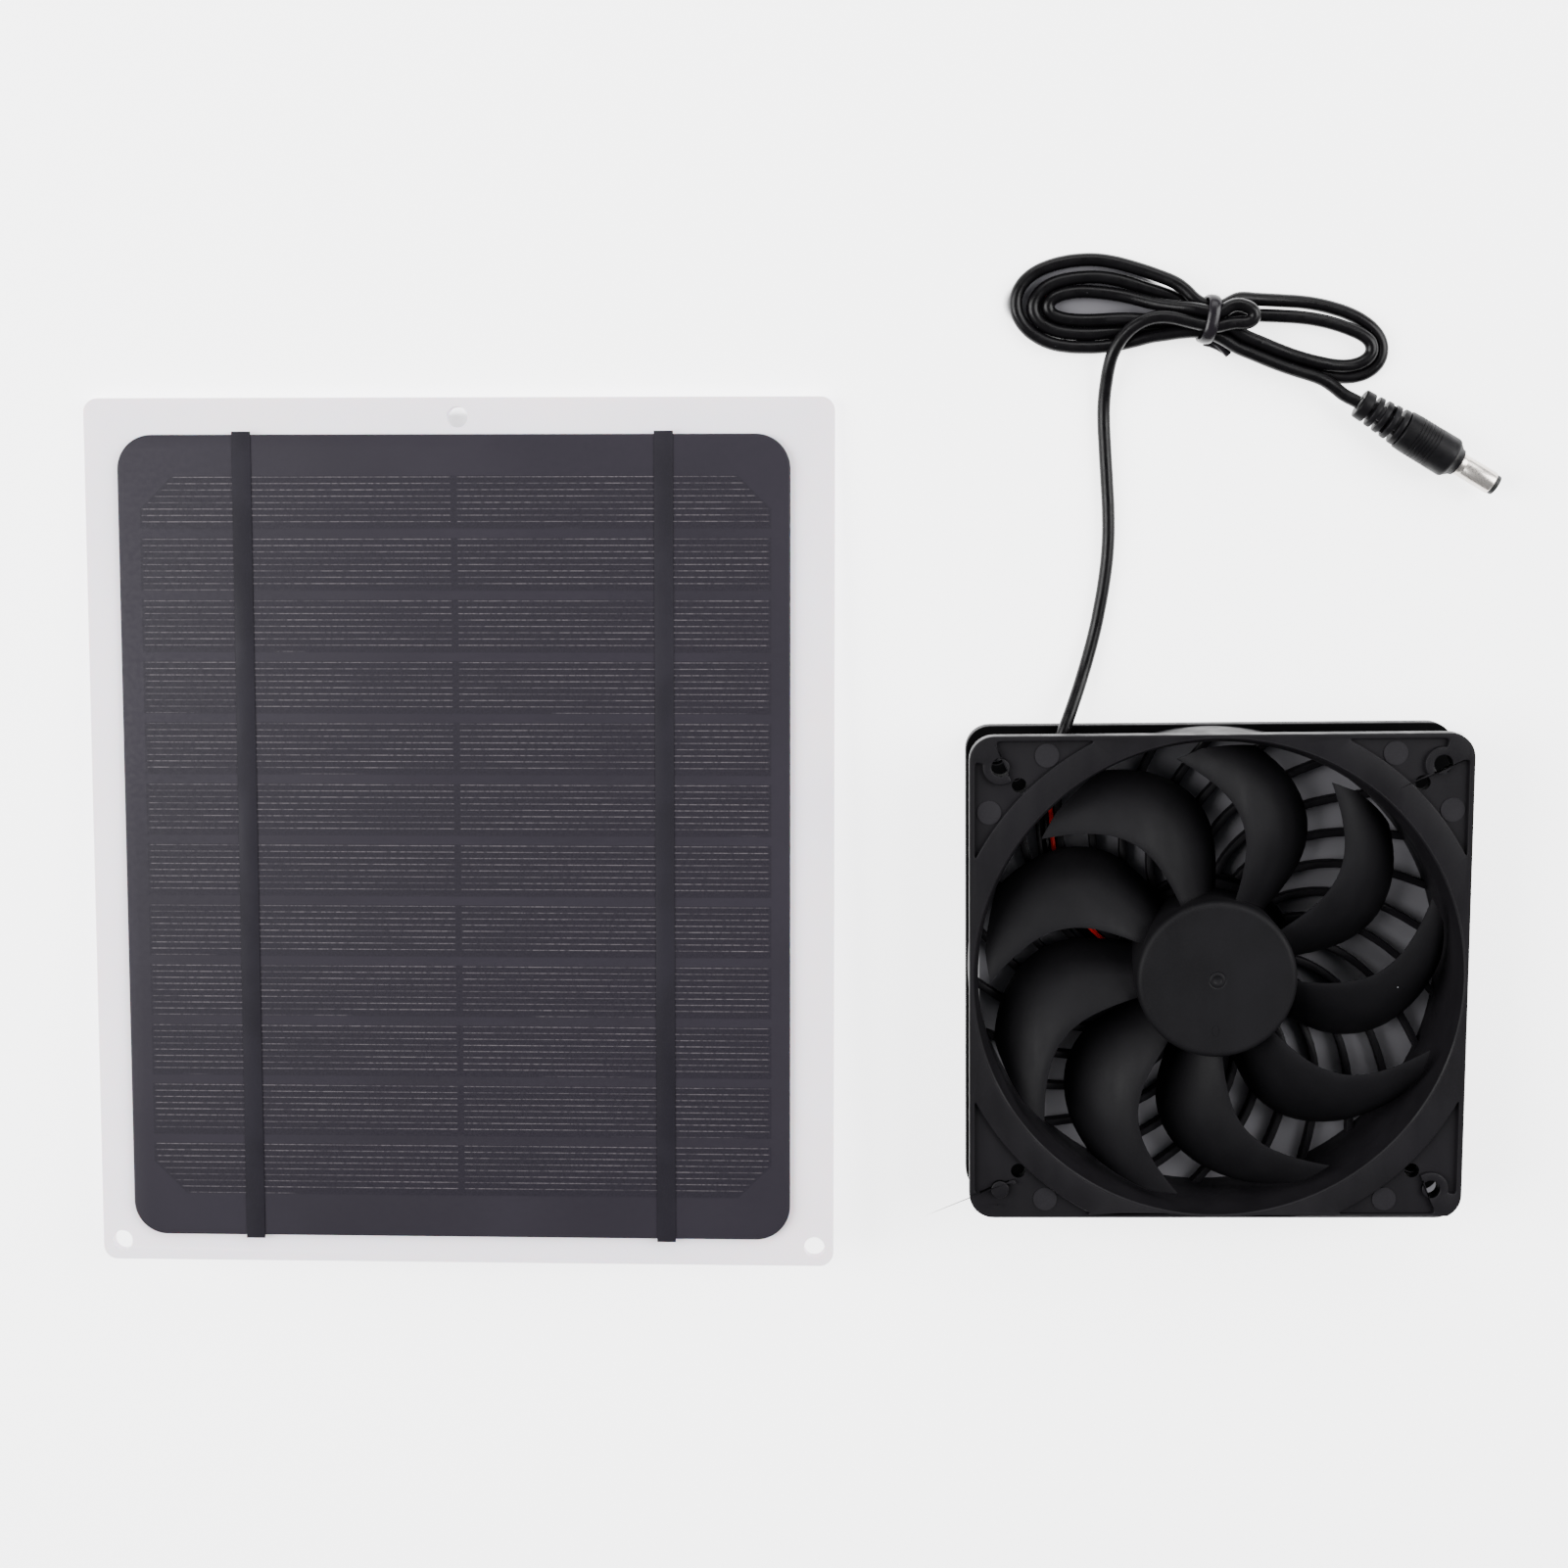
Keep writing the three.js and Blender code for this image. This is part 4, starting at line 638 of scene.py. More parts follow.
def new_piece(name: str, mesh: bmesh.types.BMesh, smooth_below: float | None = 40.0) -> bpy.types.Object:
    """Turns a finished shape into a piece at the origin.

    Args:
        name: The piece's name.
        mesh: The shape, which is used up.
        smooth_below: Edges that turn less than this many degrees look smooth. None keeps facets.

    Returns:
        The piece.
    """
    bmesh.ops.recalc_face_normals(mesh, faces=mesh.faces)
    if smooth_below is not None:
        for face in mesh.faces:
            face.smooth = True
        for edge in mesh.edges:
            if len(edge.link_faces) == 2:
                edge.smooth = edge.calc_face_angle(0.0) < math.radians(smooth_below)
    data = bpy.data.meshes.new(name)
    mesh.to_mesh(data)
    mesh.free()
    obj = bpy.data.objects.new(name, data)
    bpy.context.scene.collection.objects.link(obj)
    LOG.info("%s: %d faces", name, len(data.polygons))
    return obj


def lathe(mesh: bmesh.types.BMesh, profile: Outline, steps: int,
          place: Matrix = Matrix.Identity(4)) -> list[bmesh.types.BMVert]:
    """Turns a profile about Z into a closed shape.

    Args:
        mesh: Where the shape goes.
        profile: Radius and height pairs in millimetres, closed on itself unless both ends lie on the axis.
        steps: How many facets it has round the axis.
        place: Where the shape is put.

    Returns:
        The new corners.
    """
    old = set(mesh.verts)
    points = [mesh.verts.new((r * MM, 0.0, z * MM)) for r, z in profile]
    pairs = list(zip(points, points[1:]))
    if profile[0][0] > 0 or profile[-1][0] > 0:
        pairs.append((points[-1], points[0]))
    edges = [mesh.edges.new(pair) for pair in pairs]
    bmesh.ops.spin(mesh, geom=points + edges, cent=(0, 0, 0), axis=(0, 0, 1), angle=2 * math.pi,
                   steps=steps, use_merge=True, use_duplicate=False)
    fresh = [v for v in mesh.verts if v not in old]
    bmesh.ops.remove_doubles(mesh, verts=fresh, dist=1e-7)
    fresh = [v for v in mesh.verts if v not in old]
    bmesh.ops.transform(mesh, matrix=place, verts=fresh)
    return fresh


def arc(centre: Point, radius: float, start: float, end: float, steps: int
        ) -> list[Point]:
    """Points on an arc.

    Args:
        centre: The arc's centre.
        radius: Its radius.
        start: The first angle in degrees.
        end: The last angle in degrees.
        steps: How many steps it takes.

    Returns:
        The points, both ends included.
    """
    angles = [math.radians(start + (end - start) * i / steps) for i in range(steps + 1)]
    return [(centre[0] + radius * math.cos(a), centre[1] + radius * math.sin(a)) for a in angles]


def slab(mesh: bmesh.types.BMesh, outline: Outline, low: float, high: float,
         edge: float, segments: int = 3) -> None:
    """Raises an outline between two heights and rounds its upper edge.

    Args:
        mesh: Where the shape goes.
        outline: The outline's corners in millimetres, counter-clockwise.
        low: The lower height in millimetres.
        high: The upper height in millimetres.
        edge: The radius of the upper edge in millimetres.
        segments: How many steps round the edge.
    """
    floor = mesh.faces.new([mesh.verts.new((x * MM, y * MM, low * MM)) for x, y in outline])
    grown = bmesh.ops.extrude_face_region(mesh, geom=[floor])["geom"]
    raised = [g for g in grown if isinstance(g, bmesh.types.BMVert)]
    bmesh.ops.translate(mesh, vec=(0, 0, (high - low) * MM), verts=raised)
    top = next(g for g in grown if isinstance(g, bmesh.types.BMFace))
    bmesh.ops.bevel(mesh, geom=list(top.edges), offset=edge * MM, segments=segments, profile=0.5,
                    affect="EDGES", material=-1)


def rounded_rectangle(width: float, height: float, radius: float, centre: Point = (0.0, 0.0),
                      steps: int = 10) -> list[Point]:
    """The outline of a rectangle with round corners.

    Args:
        width: Its size along X.
        height: Its size along Y.
        radius: Its corner radius.
        centre: Its middle.
        steps: Steps round each corner.

    Returns:
        The corners, counter-clockwise.
    """
    x, y = width / 2 - radius, height / 2 - radius
    points: list[Point] = []
    for sx, sy, start in ((1, 1, 0), (-1, 1, 90), (-1, -1, 180), (1, -1, 270)):
        points += arc((centre[0] + sx * x, centre[1] + sy * y), radius, start, start + 90, steps)
    return points


def smooth_row(table: Outline, at: float) -> float:
    """Reads a table of points along a smooth curve through them.

    Args:
        table: Rows of position and value.
        at: The position.

    Returns:
        The value there.
    """
    if at <= table[0][0]:
        return table[0][1]
    if at >= table[-1][0]:
        return table[-1][1]
    k = next(i for i in range(1, len(table)) if table[i][0] >= at)
    (x0, y0), (x1, y1) = table[k - 1], table[k]
    before = table[k - 2] if k >= 2 else (2 * x0 - x1, 2 * y0 - y1)
    after = table[k + 1] if k + 1 < len(table) else (2 * x1 - x0, 2 * y1 - y0)
    m0 = (y1 - before[1]) / (x1 - before[0])
    m1 = (after[1] - y0) / (after[0] - x0)
    span = x1 - x0
    t = (at - x0) / span
    return ((2 * t ** 3 - 3 * t ** 2 + 1) * y0 + (t ** 3 - 2 * t ** 2 + t) * span * m0
            + (-2 * t ** 3 + 3 * t ** 2) * y1 + (t ** 3 - t ** 2) * span * m1)


# ------------------------------------------------------------------------------ stage


@dataclass
class Studio:
    """The pale floor, the soft lights and the camera."""

    eye: Vector = field(default_factory=lambda: Vector((0.02571, 0.09696, 0.56874)))
    gaze: Vector = field(default_factory=lambda: Vector((-0.0372, -0.1489, -0.9881)))
    head: Vector = field(default_factory=lambda: Vector((0.0071, 0.9888, -0.1493)))
    lens: float = 52.555
    floor_half: float = 3.0
    glow: float = 2.6
    # Painted shadows on the floor: boxes of x, y, half x, half y and darkness under the fan and the panel,
    # and an oval under the hank's left loop.
    shaded: tuple[tuple[float, float, float, float, float], ...] = (
        (0.1127, -0.0389, 0.0612, 0.0625, 1.0), (-0.0758, -0.0001, 0.0895, 0.1055, 0.62))
    hank_shadow_oval: tuple[float, float, float, float] = (0.0790, 0.1288, 0.0205, 0.0095)
    fade: float = 0.002
    shadow: Colour = (0.1, 0.098, 0.106)
    sky: tuple[float, float, float, float] = (0.93, 0.95, 1.0, 1.0)
    sky_strength: float = 0.4
    lights: tuple[tuple[str, tuple[float, float, float], tuple[float, float], float], ...] = (
        ("left_softbox", (-1.15, 0.15, 0.95), (0.9, 1.2), 54.0),
        ("right_softbox", (1.15, 0.35, 0.95), (0.9, 1.2), 44.0),
        ("back_softbox", (0.1, 1.35, 0.9), (1.6, 0.7), 22.0))

    def camera(self) -> None:
        """Adds the camera and makes it the scene's."""
        data = bpy.data.cameras.new("camera")
        data.lens = self.lens
        data.sensor_width = 36.0
        data.clip_start = 0.01
        data.clip_end = 20.0
        data.dof.use_dof = False
        obj = bpy.data.objects.new("camera", data)
        back = -self.gaze.normalized()
        right = self.head.cross(back).normalized()
        up = back.cross(right)
        turn = Matrix((right, up, back)).transposed()
        obj.matrix_world = Matrix.Translation(self.eye) @ turn.to_4x4()
        bpy.context.scene.collection.objects.link(obj)
        bpy.context.scene.camera = obj

    def floor(self) -> None:
        """Adds the floor, with painted shadows under the fan, the panel and the hank's left loop, where its
        glow is turned down too.
        """
        mesh = bmesh.new()
        bmesh.ops.create_grid(mesh, x_segments=1, y_segments=1, size=self.floor_half)
        obj = new_piece("floor", mesh, None)
        s = Shader("pale_floor")
        flat = s.axes(s.place())
        shade: object = 0.0
        for x, y, half_x, half_y, depth in self.shaded:
            wide = s.math("ABSOLUTE", s.math("SUBTRACT", flat["X"], x))
            tall = s.math("ABSOLUTE", s.math("SUBTRACT", flat["Y"], y))
            spot = s.product(s.step(wide, half_x - self.fade, half_x, (depth, 0.0)),
                             s.step(tall, half_y - self.fade, half_y, (1.0, 0.0)))
            shade = s.math("MAXIMUM", shade, spot)
        # Painted shadow in an oval under the hank's left loop, darkening the floor seen between its turns.
        x, y, half_x, half_y = self.hank_shadow_oval
        wide, tall = (s.math("POWER", s.math("DIVIDE", s.math("SUBTRACT", flat[axis], middle), half), 2.0)
                      for axis, middle, half in (("X", x, half_x), ("Y", y, half_y)))
        shade = s.math("MAXIMUM", shade, s.step(s.math("ADD", wide, tall), 0.8, 1.0, (1.0, 0.0)))
        pale = s.blend(s.noise(120 * MM, 3), (0.90, 0.90, 0.905), (0.93, 0.93, 0.935))
        s.colour(s.blend(shade, pale, self.shadow))
        s.feed(s.surface.inputs["Emission Strength"], s.math("MULTIPLY_ADD", shade, -self.glow, self.glow))
        s.set(Roughness=0.75, Specular_IOR_Level=0.1, Emission_Color=(1.0, 1.0, 1.0, 1.0))
        obj.data.materials.append(s.material)

    def light(self, name: str, place: Sequence[float], size: tuple[float, float], power: float) -> None:
        """Args:
            name: Its name.
            place: Where it hangs, in metres.
            size: Its two sides in metres.
            power: Its power in watts.
        """
        data = bpy.data.lights.new(name, "AREA")
        data.shape = "RECTANGLE"
        data.size, data.size_y = size
        data.energy = power
        obj = bpy.data.objects.new(name, data)
        obj.location = place
        obj.rotation_euler = (-Vector(place)).to_track_quat("-Z", "Y").to_euler()
        bpy.context.scene.collection.objects.link(obj)

    def build(self) -> None:
        """Adds everything on the stage."""
        self.camera()
        self.floor()
        world = bpy.data.worlds.new("studio")
        world.use_nodes = True
        sky = next(n for n in world.node_tree.nodes if n.type == "BACKGROUND")
        sky.inputs["Color"].default_value = self.sky
        sky.inputs["Strength"].default_value = self.sky_strength
        bpy.context.scene.world = world
        for row in self.lights:
            self.light(*row)


# ------------------------------------------------------------------------------ lead and plug


@dataclass
class Lead:
    """The fan's lead, wound into a hank, with its wire tie and its barrel plug."""

    book: FinishBook
    diameter: float = 3.2 * MM
    tie_middle: tuple[float, float] = (107.9, 124.2)
    tie_yaw: float = math.radians(-10.8)
    plug_start: tuple[float, float, float] = (144.4, 103.9, 5.1)
    plug_yaw: float = math.radians(-31.4)
    grip_length: float = 28.0
    tie_wire: float = 0.6
    tie_half: float = 5.35
    tie_low: float = 0.6
    tie_high: float = 10.05
    tie_flatness: float = 2.6
    tie_ends: tuple[tuple[float, float, float], ...] = (
        (107.6, 119.2, 2.0), (109.2, 118.8, 2.1), (110.8, 118.0, 2.1), (112.2, 117.0, 2.0),
        (113.4, 116.0, 1.9))
    bands: int = 4
    band_start: float = 3.55
    band_pitch: float = 2.3
    grooves: int = 7
    groove_start: float = 15.2
    groove_pitch: float = 0.85

    def length(self) -> float:
        """Returns the real length of the lead's path in metres."""
        points = [Vector(p) * MM for p in LEAD_PATH]
        return sum((b - a).length for a, b in zip(points, points[1:]))

    def flex(self) -> bpy.types.Object:
        """Builds the whole cord as one round line."""
        data = bpy.data.curves.new("lead_cord", "CURVE")
        data.dimensions = "3D"
        data.bevel_depth = self.diameter / 2
        data.bevel_resolution = 6
        data.resolution_u = 4
        data.use_fill_caps = True
        line = data.splines.new("BEZIER")
        line.bezier_points.add(len(LEAD_PATH) - 1)
        for point, place in zip(line.bezier_points, LEAD_PATH):
            point.co = Vector(place) * MM
            point.handle_left_type = "AUTO"
            point.handle_right_type = "AUTO"
        obj = bpy.data.objects.new("lead_cord", data)
        bpy.context.scene.collection.objects.link(obj)
        self.book.wear(obj, "cord_jacket")
        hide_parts("cord_lead", "cord_hank", "cord_tail")
        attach(obj, Body.FAN.value)
        LOG.info("lead_cord: %.3f m", self.length())
        return obj

    def tie(self) -> bpy.types.Object:
        """Builds the coated wire that ties the hank, with its twisted ends."""
        mesh = bmesh.new()
        turn = Matrix.Translation((self.tie_middle[0] * MM, self.tie_middle[1] * MM, 0))
        turn @= Matrix.Rotation(self.tie_yaw, 4, "Z")
        rows, sides, squareness = 64, 10, 0.72
        middle, reach = (self.tie_low + self.tie_high) / 2, (self.tie_high - self.tie_low) / 2
        loop = []
        for i in range(rows):
            a = 2 * math.pi * i / rows
            c, s = math.cos(a), math.sin(a)
            y = self.tie_half * math.copysign(abs(c) ** squareness, c)
            z = middle + reach * math.copysign(abs(s) ** squareness, s)
            loop.append(Vector((0.2 * s, y, z)) * MM)
        self.tube(mesh, loop, self.tie_wire * MM, sides, closed=True)
        bmesh.ops.transform(mesh, matrix=turn @ Matrix.Diagonal((self.tie_flatness, 1.0, 1.0, 1.0)),
                            verts=mesh.verts)
        path = [Vector(p) * MM for p in self.tie_ends]
        for side in (0.0, math.pi):
            strand = []
            for i in range(25):
                t = i / 24 * (len(path) - 1)
                k = min(int(t), len(path) - 2)
                base = path[k].lerp(path[k + 1], t - k)
                a = side + t * 0.5
                aside = Vector((0.25 * math.cos(a), 0.35 * math.cos(a), 0.35 * math.sin(a)))
                strand.append(base + aside * MM)
            self.tube(mesh, strand, self.tie_wire * 1.5 * MM, sides, closed=False)
        obj = new_piece("hank_tie", mesh, 80)
        self.book.wear(obj, "tie_plastic")
        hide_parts("wire_tie")
        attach(obj, Body.FAN.value)
        return obj

    @staticmethod
    def tube(mesh: bmesh.types.BMesh, path: Sequence[Vector], radius: float, sides: int,
             closed: bool) -> None:
        """Sweeps a round section along a path.

        Args:
            mesh: Where the shape goes.
            path: The middle line's points.
            radius: The section's radius.
            sides: The section's facets.
            closed: Whether the path joins its own start.
        """
        count = len(path)
        rings = []
        side = None
        for i, point in enumerate(path):
            ahead = path[(i + 1) % count] if closed or i + 1 < count else point
            behind = path[i - 1] if closed or i > 0 else point
            tangent = (ahead - behind).normalized()
            if side is None:
                side = tangent.orthogonal().normalized()
            side = (side - tangent * side.dot(tangent)).normalized()
            other = tangent.cross(side)
            ring = []
            for k in range(sides):
                a = 2 * math.pi * k / sides
                ring.append(mesh.verts.new(point + (side * math.cos(a) + other * math.sin(a)) * radius))
            rings.append(ring)
        last = count if closed else count - 1
        for i in range(last):
            near, far = rings[i], rings[(i + 1) % count]
            shift = 0
            if closed and i == count - 1:
                shift = min(range(sides), key=lambda n: (far[n].co - near[0].co).length)
            for k in range(sides):
                mesh.faces.new((near[k], near[(k + 1) % sides], far[(k + 1 + shift) % sides],
                                far[(k + shift) % sides]))
        if not closed:
            mesh.faces.new(reversed(rings[0]))
            mesh.faces.new(rings[-1])

    def on_plug(self) -> Matrix:
        """Returns the placing of a shape drawn along +Z onto the plug's line."""
        place = Matrix.Translation(Vector(self.plug_start) * MM)
        return place @ Matrix.Rotation(self.plug_yaw, 4, "Z") @ Matrix.Rotation(math.pi / 2, 4, "Y")

    def grip(self) -> bpy.types.Object:
        """Builds the moulded grip with its slotted strain relief."""
        mesh = bmesh.new()
        core = [(0.0, 0.2), (2.35, 0.2), (2.5, 12.0), (0.0, 12.0)]
        lathe(mesh, core, 40, self.on_plug())
        collar = [(1.7, 0.0), (3.2, 0.0)] + arc((3.2, 0.45), 0.45, -80, 0, 4) + [(3.72, 2.3)]
        collar += arc((3.32, 2.3), 0.4, 0, 90, 4) + [(1.7, 2.7)]
        lathe(mesh, collar, 48, self.on_plug())
        for i in range(self.bands):
            low = self.band_start + self.band_pitch * i
            r = 3.85 + 0.22 * i
            band = [(1.9, low), (r - 0.35, low)] + arc((r - 0.3, low + 0.3), 0.3, -90, 0, 3)
            band += arc((r - 0.25, low + 1.15), 0.3, 0, 90, 3) + [(1.9, low + 1.45)]
            lathe(mesh, band, 48, self.on_plug())
            for side in (-1, 1):
                turn = Matrix.Rotation(math.pi / 2 * (i % 2), 4, "Z")
                place = self.on_plug() @ turn @ Matrix.Translation((side * 2.7 * MM, 0, (low + 1.9) * MM))
                size = Matrix.Diagonal((1.7 * MM, 3.4 * MM, 1.3 * MM, 1.0))
                web = bmesh.ops.create_cube(mesh, size=1.0, matrix=place @ size)["verts"]
                bmesh.ops.bevel(mesh, geom=list({e for v in web for e in v.link_edges}), offset=0.15 * MM,
                                segments=2, profile=0.5, affect="EDGES", material=-1)
        body = [(0.0, 12.1), (4.2, 12.1)] + arc((4.35, 12.6), 0.5, -90, 0, 4)
        for i in range(self.grooves):
            z = self.groove_start + self.groove_pitch * i
            body += [(4.98, z), (4.82, z + 0.12), (4.82, z + 0.3), (4.98, z + 0.42)]
        body += [(5.0, 22.6)] + arc((3.8, 25.2), 1.2, 0, 60, 5) + [(3.5, 27.3), (3.3, 28.0), (0.0, 28.0)]
        lathe(mesh, body, 56, self.on_plug())
        obj = new_piece("plug_moulding", mesh, 50)
        self.book.wear(obj, "plug_moulding")
        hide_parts("plug_grip")
        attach(obj, Body.FAN.value)
        return obj

    def barrel(self) -> bpy.types.Object:
        """Builds the plated barrel with its rolled front edge."""
        mesh = bmesh.new()
        start, end = self.grip_length + 0.3, self.grip_length + 9.7
        wall = [(1.75, start), (2.75, start), (2.75, start + 1.0), (2.68, start + 1.1), (2.68, start + 1.3),
                (2.75, start + 1.4), (2.75, end - 0.3)]
        wall += arc((2.45, end - 0.3), 0.3, 0, 90, 4) + [(1.75, end)]
        lathe(mesh, wall, 56, self.on_plug())
        obj = new_piece("plug_sleeve", mesh, 40)
        self.book.wear(obj, "nickel_plate")
        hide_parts("plug_barrel")
        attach(obj, Body.FAN.value)
        return obj

    def tip(self) -> bpy.types.Object:
        """Builds the black insulating ring at the plug's tip."""
        mesh = bmesh.new()
        start, end = self.grip_length + 0.9, self.grip_length + 10.9
        ring = [(1.25, start), (1.45, start), (1.45, end - 1.15), (2.5, end - 1.15)]
        ring += arc((2.1, end - 0.4), 0.4, 0, 90, 3) + [(1.5, end), (1.25, end - 0.2)]
        lathe(mesh, ring, 40, self.on_plug())
        obj = new_piece("plug_tip", mesh, 40)
        self.book.wear(obj, "chip_resin")
        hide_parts("plug_insulator")
        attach(obj, Body.FAN.value)
        return obj

    def build(self) -> None:
        flex = self.flex()
        others = [self.tie(), self.grip(), self.barrel(), self.tip()]


# ------------------------------------------------------------------------------ fan


def circle(radius: float, steps: int, centre: Point = (0.0, 0.0)) -> list[Point]:
    """The outline of a round hole or disc.

    Args:
        radius: Its radius.
        steps: Its facets.
        centre: Its middle.

    Returns:
        The points, counter-clockwise.
    """
    return arc(centre, radius, 0, 360 - 360 / steps, steps - 1)


def eased(outline: Outline, radius: float) -> list[Point]:
    """Rounds the sharp corners of an outline.

    Args:
        outline: The corners.
        radius: How far from a corner the rounding starts.

    Returns:
        The rounded outline.
    """
    points: list[Point] = []
    count = len(outline)
    for i, spot in enumerate(outline):
        here, before, after = Vector(spot), Vector(outline[i - 1]), Vector(outline[(i + 1) % count])
        come, leave = here - before, after - here
        if come.angle(leave) < math.radians(30):
            points.append(spot)
            continue
        start = here - come.normalized() * min(radius, come.length * 0.45)
        end = here + leave.normalized() * min(radius, leave.length * 0.45)
        for k in range(5):
            t = k / 4
            blend = start * (1 - t) ** 2 + here * 2 * t * (1 - t) + end * t * t
            points.append((blend.x, blend.y))
    return points


def plate(mesh: bmesh.types.BMesh, outline: Outline,
          holes: Sequence[Outline], low: float, high: float, edge: float) -> None:
    """Raises a sheet with holes between two heights and rounds its upper edges.

    Args:
        mesh: Where the shape goes.
        outline: The outer corners in millimetres.
        holes: The corners of each hole in millimetres.
        low: The lower height in millimetres.
        high: The upper height in millimetres.
        edge: The radius of the upper edges in millimetres.
    """
    part = bmesh.new()
    for loop in (outline, *holes):
        corners = [part.verts.new((x * MM, y * MM, low * MM)) for x, y in loop]
        for a, b in zip(corners, corners[1:] + corners[:1]):
            part.edges.new((a, b))
    bmesh.ops.triangle_fill(part, use_beauty=True, use_dissolve=False, edges=part.edges[:], normal=(0, 0, -1))
    grown = bmesh.ops.extrude_face_region(part, geom=part.faces[:])["geom"]
    bmesh.ops.translate(part, vec=(0, 0, (high - low) * MM),
                        verts=[g for g in grown if isinstance(g, bmesh.types.BMVert)])
    bmesh.ops.recalc_face_normals(part, faces=part.faces[:])
    if edge > 0:
        rims = [e for e in part.edges if e.calc_face_angle(0.0) > math.radians(60)
                and all(abs(v.co.z - high * MM) < 1e-9 for v in e.verts)]
        bmesh.ops.bevel(part, geom=rims, offset=edge * MM, segments=3, profile=0.5, affect="EDGES",
                        material=-1)
    data = bpy.data.meshes.new("plate")
    part.to_mesh(data)
    part.free()
    mesh.from_mesh(data)
    bpy.data.meshes.remove(data)


@dataclass
class Housing:
    """The square fan frame with its duct, its two flanges and the ribs that hold the motor."""

    book: FinishBook
    centre: Point = (109.7, -33.9)
    side: float = 120.0
    depth: float = 25.0
    corner: float = 6.0
    flange: float = 4.2
    bore: float = 57.6
    mouth: float = 58.9
    mouth_depth: float = 5.0
    duct: float = 59.6
    pocket_depth: float = 1.2
    pocket_edge: float = 58.7
    pocket_arc: float = 65.9
    pocket_lip: float = 1.3
    boss: float = 4.3
    pin_radius: float = 2.9
    pin_near: float = 41.4
    pin_far: float = 55.2
    screw_at: float = 52.5
    screw: float = 2.2
    rivet_at: float = 48.0
    rivet: float = 1.8
    rib_count: int = 26
    rib_width: float = 1.8
    rib_low: float = 0.6
    rib_high: float = 3.8
    rib_edge: float = 0.35
    rib_start: float = 21.5
    rib_end: float = 58.2
    rib_first: float = 18.7
    rib_sweep: float = 38.0
    guide_rib: int = 8
    guide_width: float = 5.6
    base: float = 22.5
    slot: tuple[float, float] = (130.6, 137.6)
    slot_top: float = 9.0

    def on_rib(self, end: float, r: float) -> Vector:
        """A point on a rib's middle line.

        Args:
            end: The rib's angle at the duct, in degrees.
            r: The radius.

        Returns:
            The point in millimetres about the fan's axis.
        """
        way = (self.rib_end - r) / (self.rib_end - self.rib_start)
        turn = math.radians(end + self.rib_sweep * (0.8 * way + 0.65 * way ** 2 - 0.45 * way ** 3))
        return Vector((r * math.cos(turn), r * math.sin(turn)))

    def beside_rib(self, end: float, r: float, left: float) -> tuple[float, float]:
        """A point beside a rib's middle line.

        Args:
            end: The rib's angle at the duct, in degrees.
            r: The radius.
            left: How far to the rib's left, seen from the hub.

        Returns:
            The point in millimetres about the fan's axis.
        """
        here = self.on_rib(end, r)
        ahead = (self.on_rib(end, r + 0.1) - here).normalized()
        return here.x - ahead.y * left, here.y + ahead.x * left

    def rib(self, mesh: bmesh.types.BMesh, end: float, near: float, far: float, high: float) -> None:
        """Adds a strip that follows the ribs' curve.

        Args:
            mesh: Where the strip goes.
            end: The rib's angle at the duct, in degrees.
            near: The strip's right side, as a distance to the rib's left.
            far: Its left side.
            high: Its upper height.
        """
        steps = 14
        radii = [self.rib_start + (self.rib_end - self.rib_start) * i / steps for i in range(steps + 1)]
        outline = [self.beside_rib(end, r, near) for r in radii]
        outline += [self.beside_rib(end, r, far) for r in reversed(radii)]
        slab(mesh, outline, self.rib_low, high, self.rib_edge, 2)

    def pocket(self) -> list[Point]:
        """Returns the outline of the upper left corner's pocket, counter-clockwise."""
        edge, at, lip = self.pocket_edge, self.screw_at, self.pocket_lip
        reach = math.sqrt(self.boss ** 2 - lip ** 2)
        first = math.degrees(math.atan2(lip, -reach))
        turn = math.degrees(math.atan2(edge, -math.sqrt(self.pocket_arc ** 2 - edge ** 2)))
        shape = arc((0, 0), self.pocket_arc, 270 - turn, turn, 16)
        shape += [(-at - lip, edge)]
        shape += arc((-at, at), self.boss, 270 - first + 180 + 20, first + 6, 20)
        shape += [(-edge, at + lip)]
        return eased(shape, lip)

    def flanges(self, mesh: bmesh.types.BMesh, pins: bmesh.types.BMesh) -> None:
        """Adds the two square flanges, with the pockets and holes of their corners.

        Args:
            mesh: Where the flanges go.
            pins: Where the round ejector-pin marks in the pockets go.
        """
        square = rounded_rectangle(self.side, self.side, self.corner, steps=10)
        screws, rivets, pockets = [], [], []
        for k in range(4):
            turn = Matrix.Rotation(math.radians(90 * k), 2)
            spot = turn @ Vector((self.screw_at, self.screw_at))
            screws.append(circle(self.screw, 28, tuple(spot)))
            spot = turn @ Vector((self.rivet_at, self.rivet_at))
            rivets.append(circle(self.rivet, 24, tuple(spot)))
            pockets.append([tuple(turn @ Vector(p)) for p in self.pocket()])
        hole = circle(self.duct - 0.3, 144)
        plate(mesh, square, [hole, *screws, *rivets], 0, self.flange, 0.4)
        floor = self.depth - self.pocket_depth
        plate(mesh, square, [hole, *screws, *rivets], self.depth - self.flange, floor, 0.0)
        plate(mesh, square, [hole, *screws, *pockets], floor, self.depth, 0.3)
        near, far = self.pin_near, self.pin_far
        marks = ((-near, far), (-far, near), (near, far), (far, near), (-near, -far), (near, -far))
        for x, y in marks:
            plate(pins, circle(self.pin_radius, 28, (x, y)), [], floor - 0.2, floor + 0.22, 0.12)

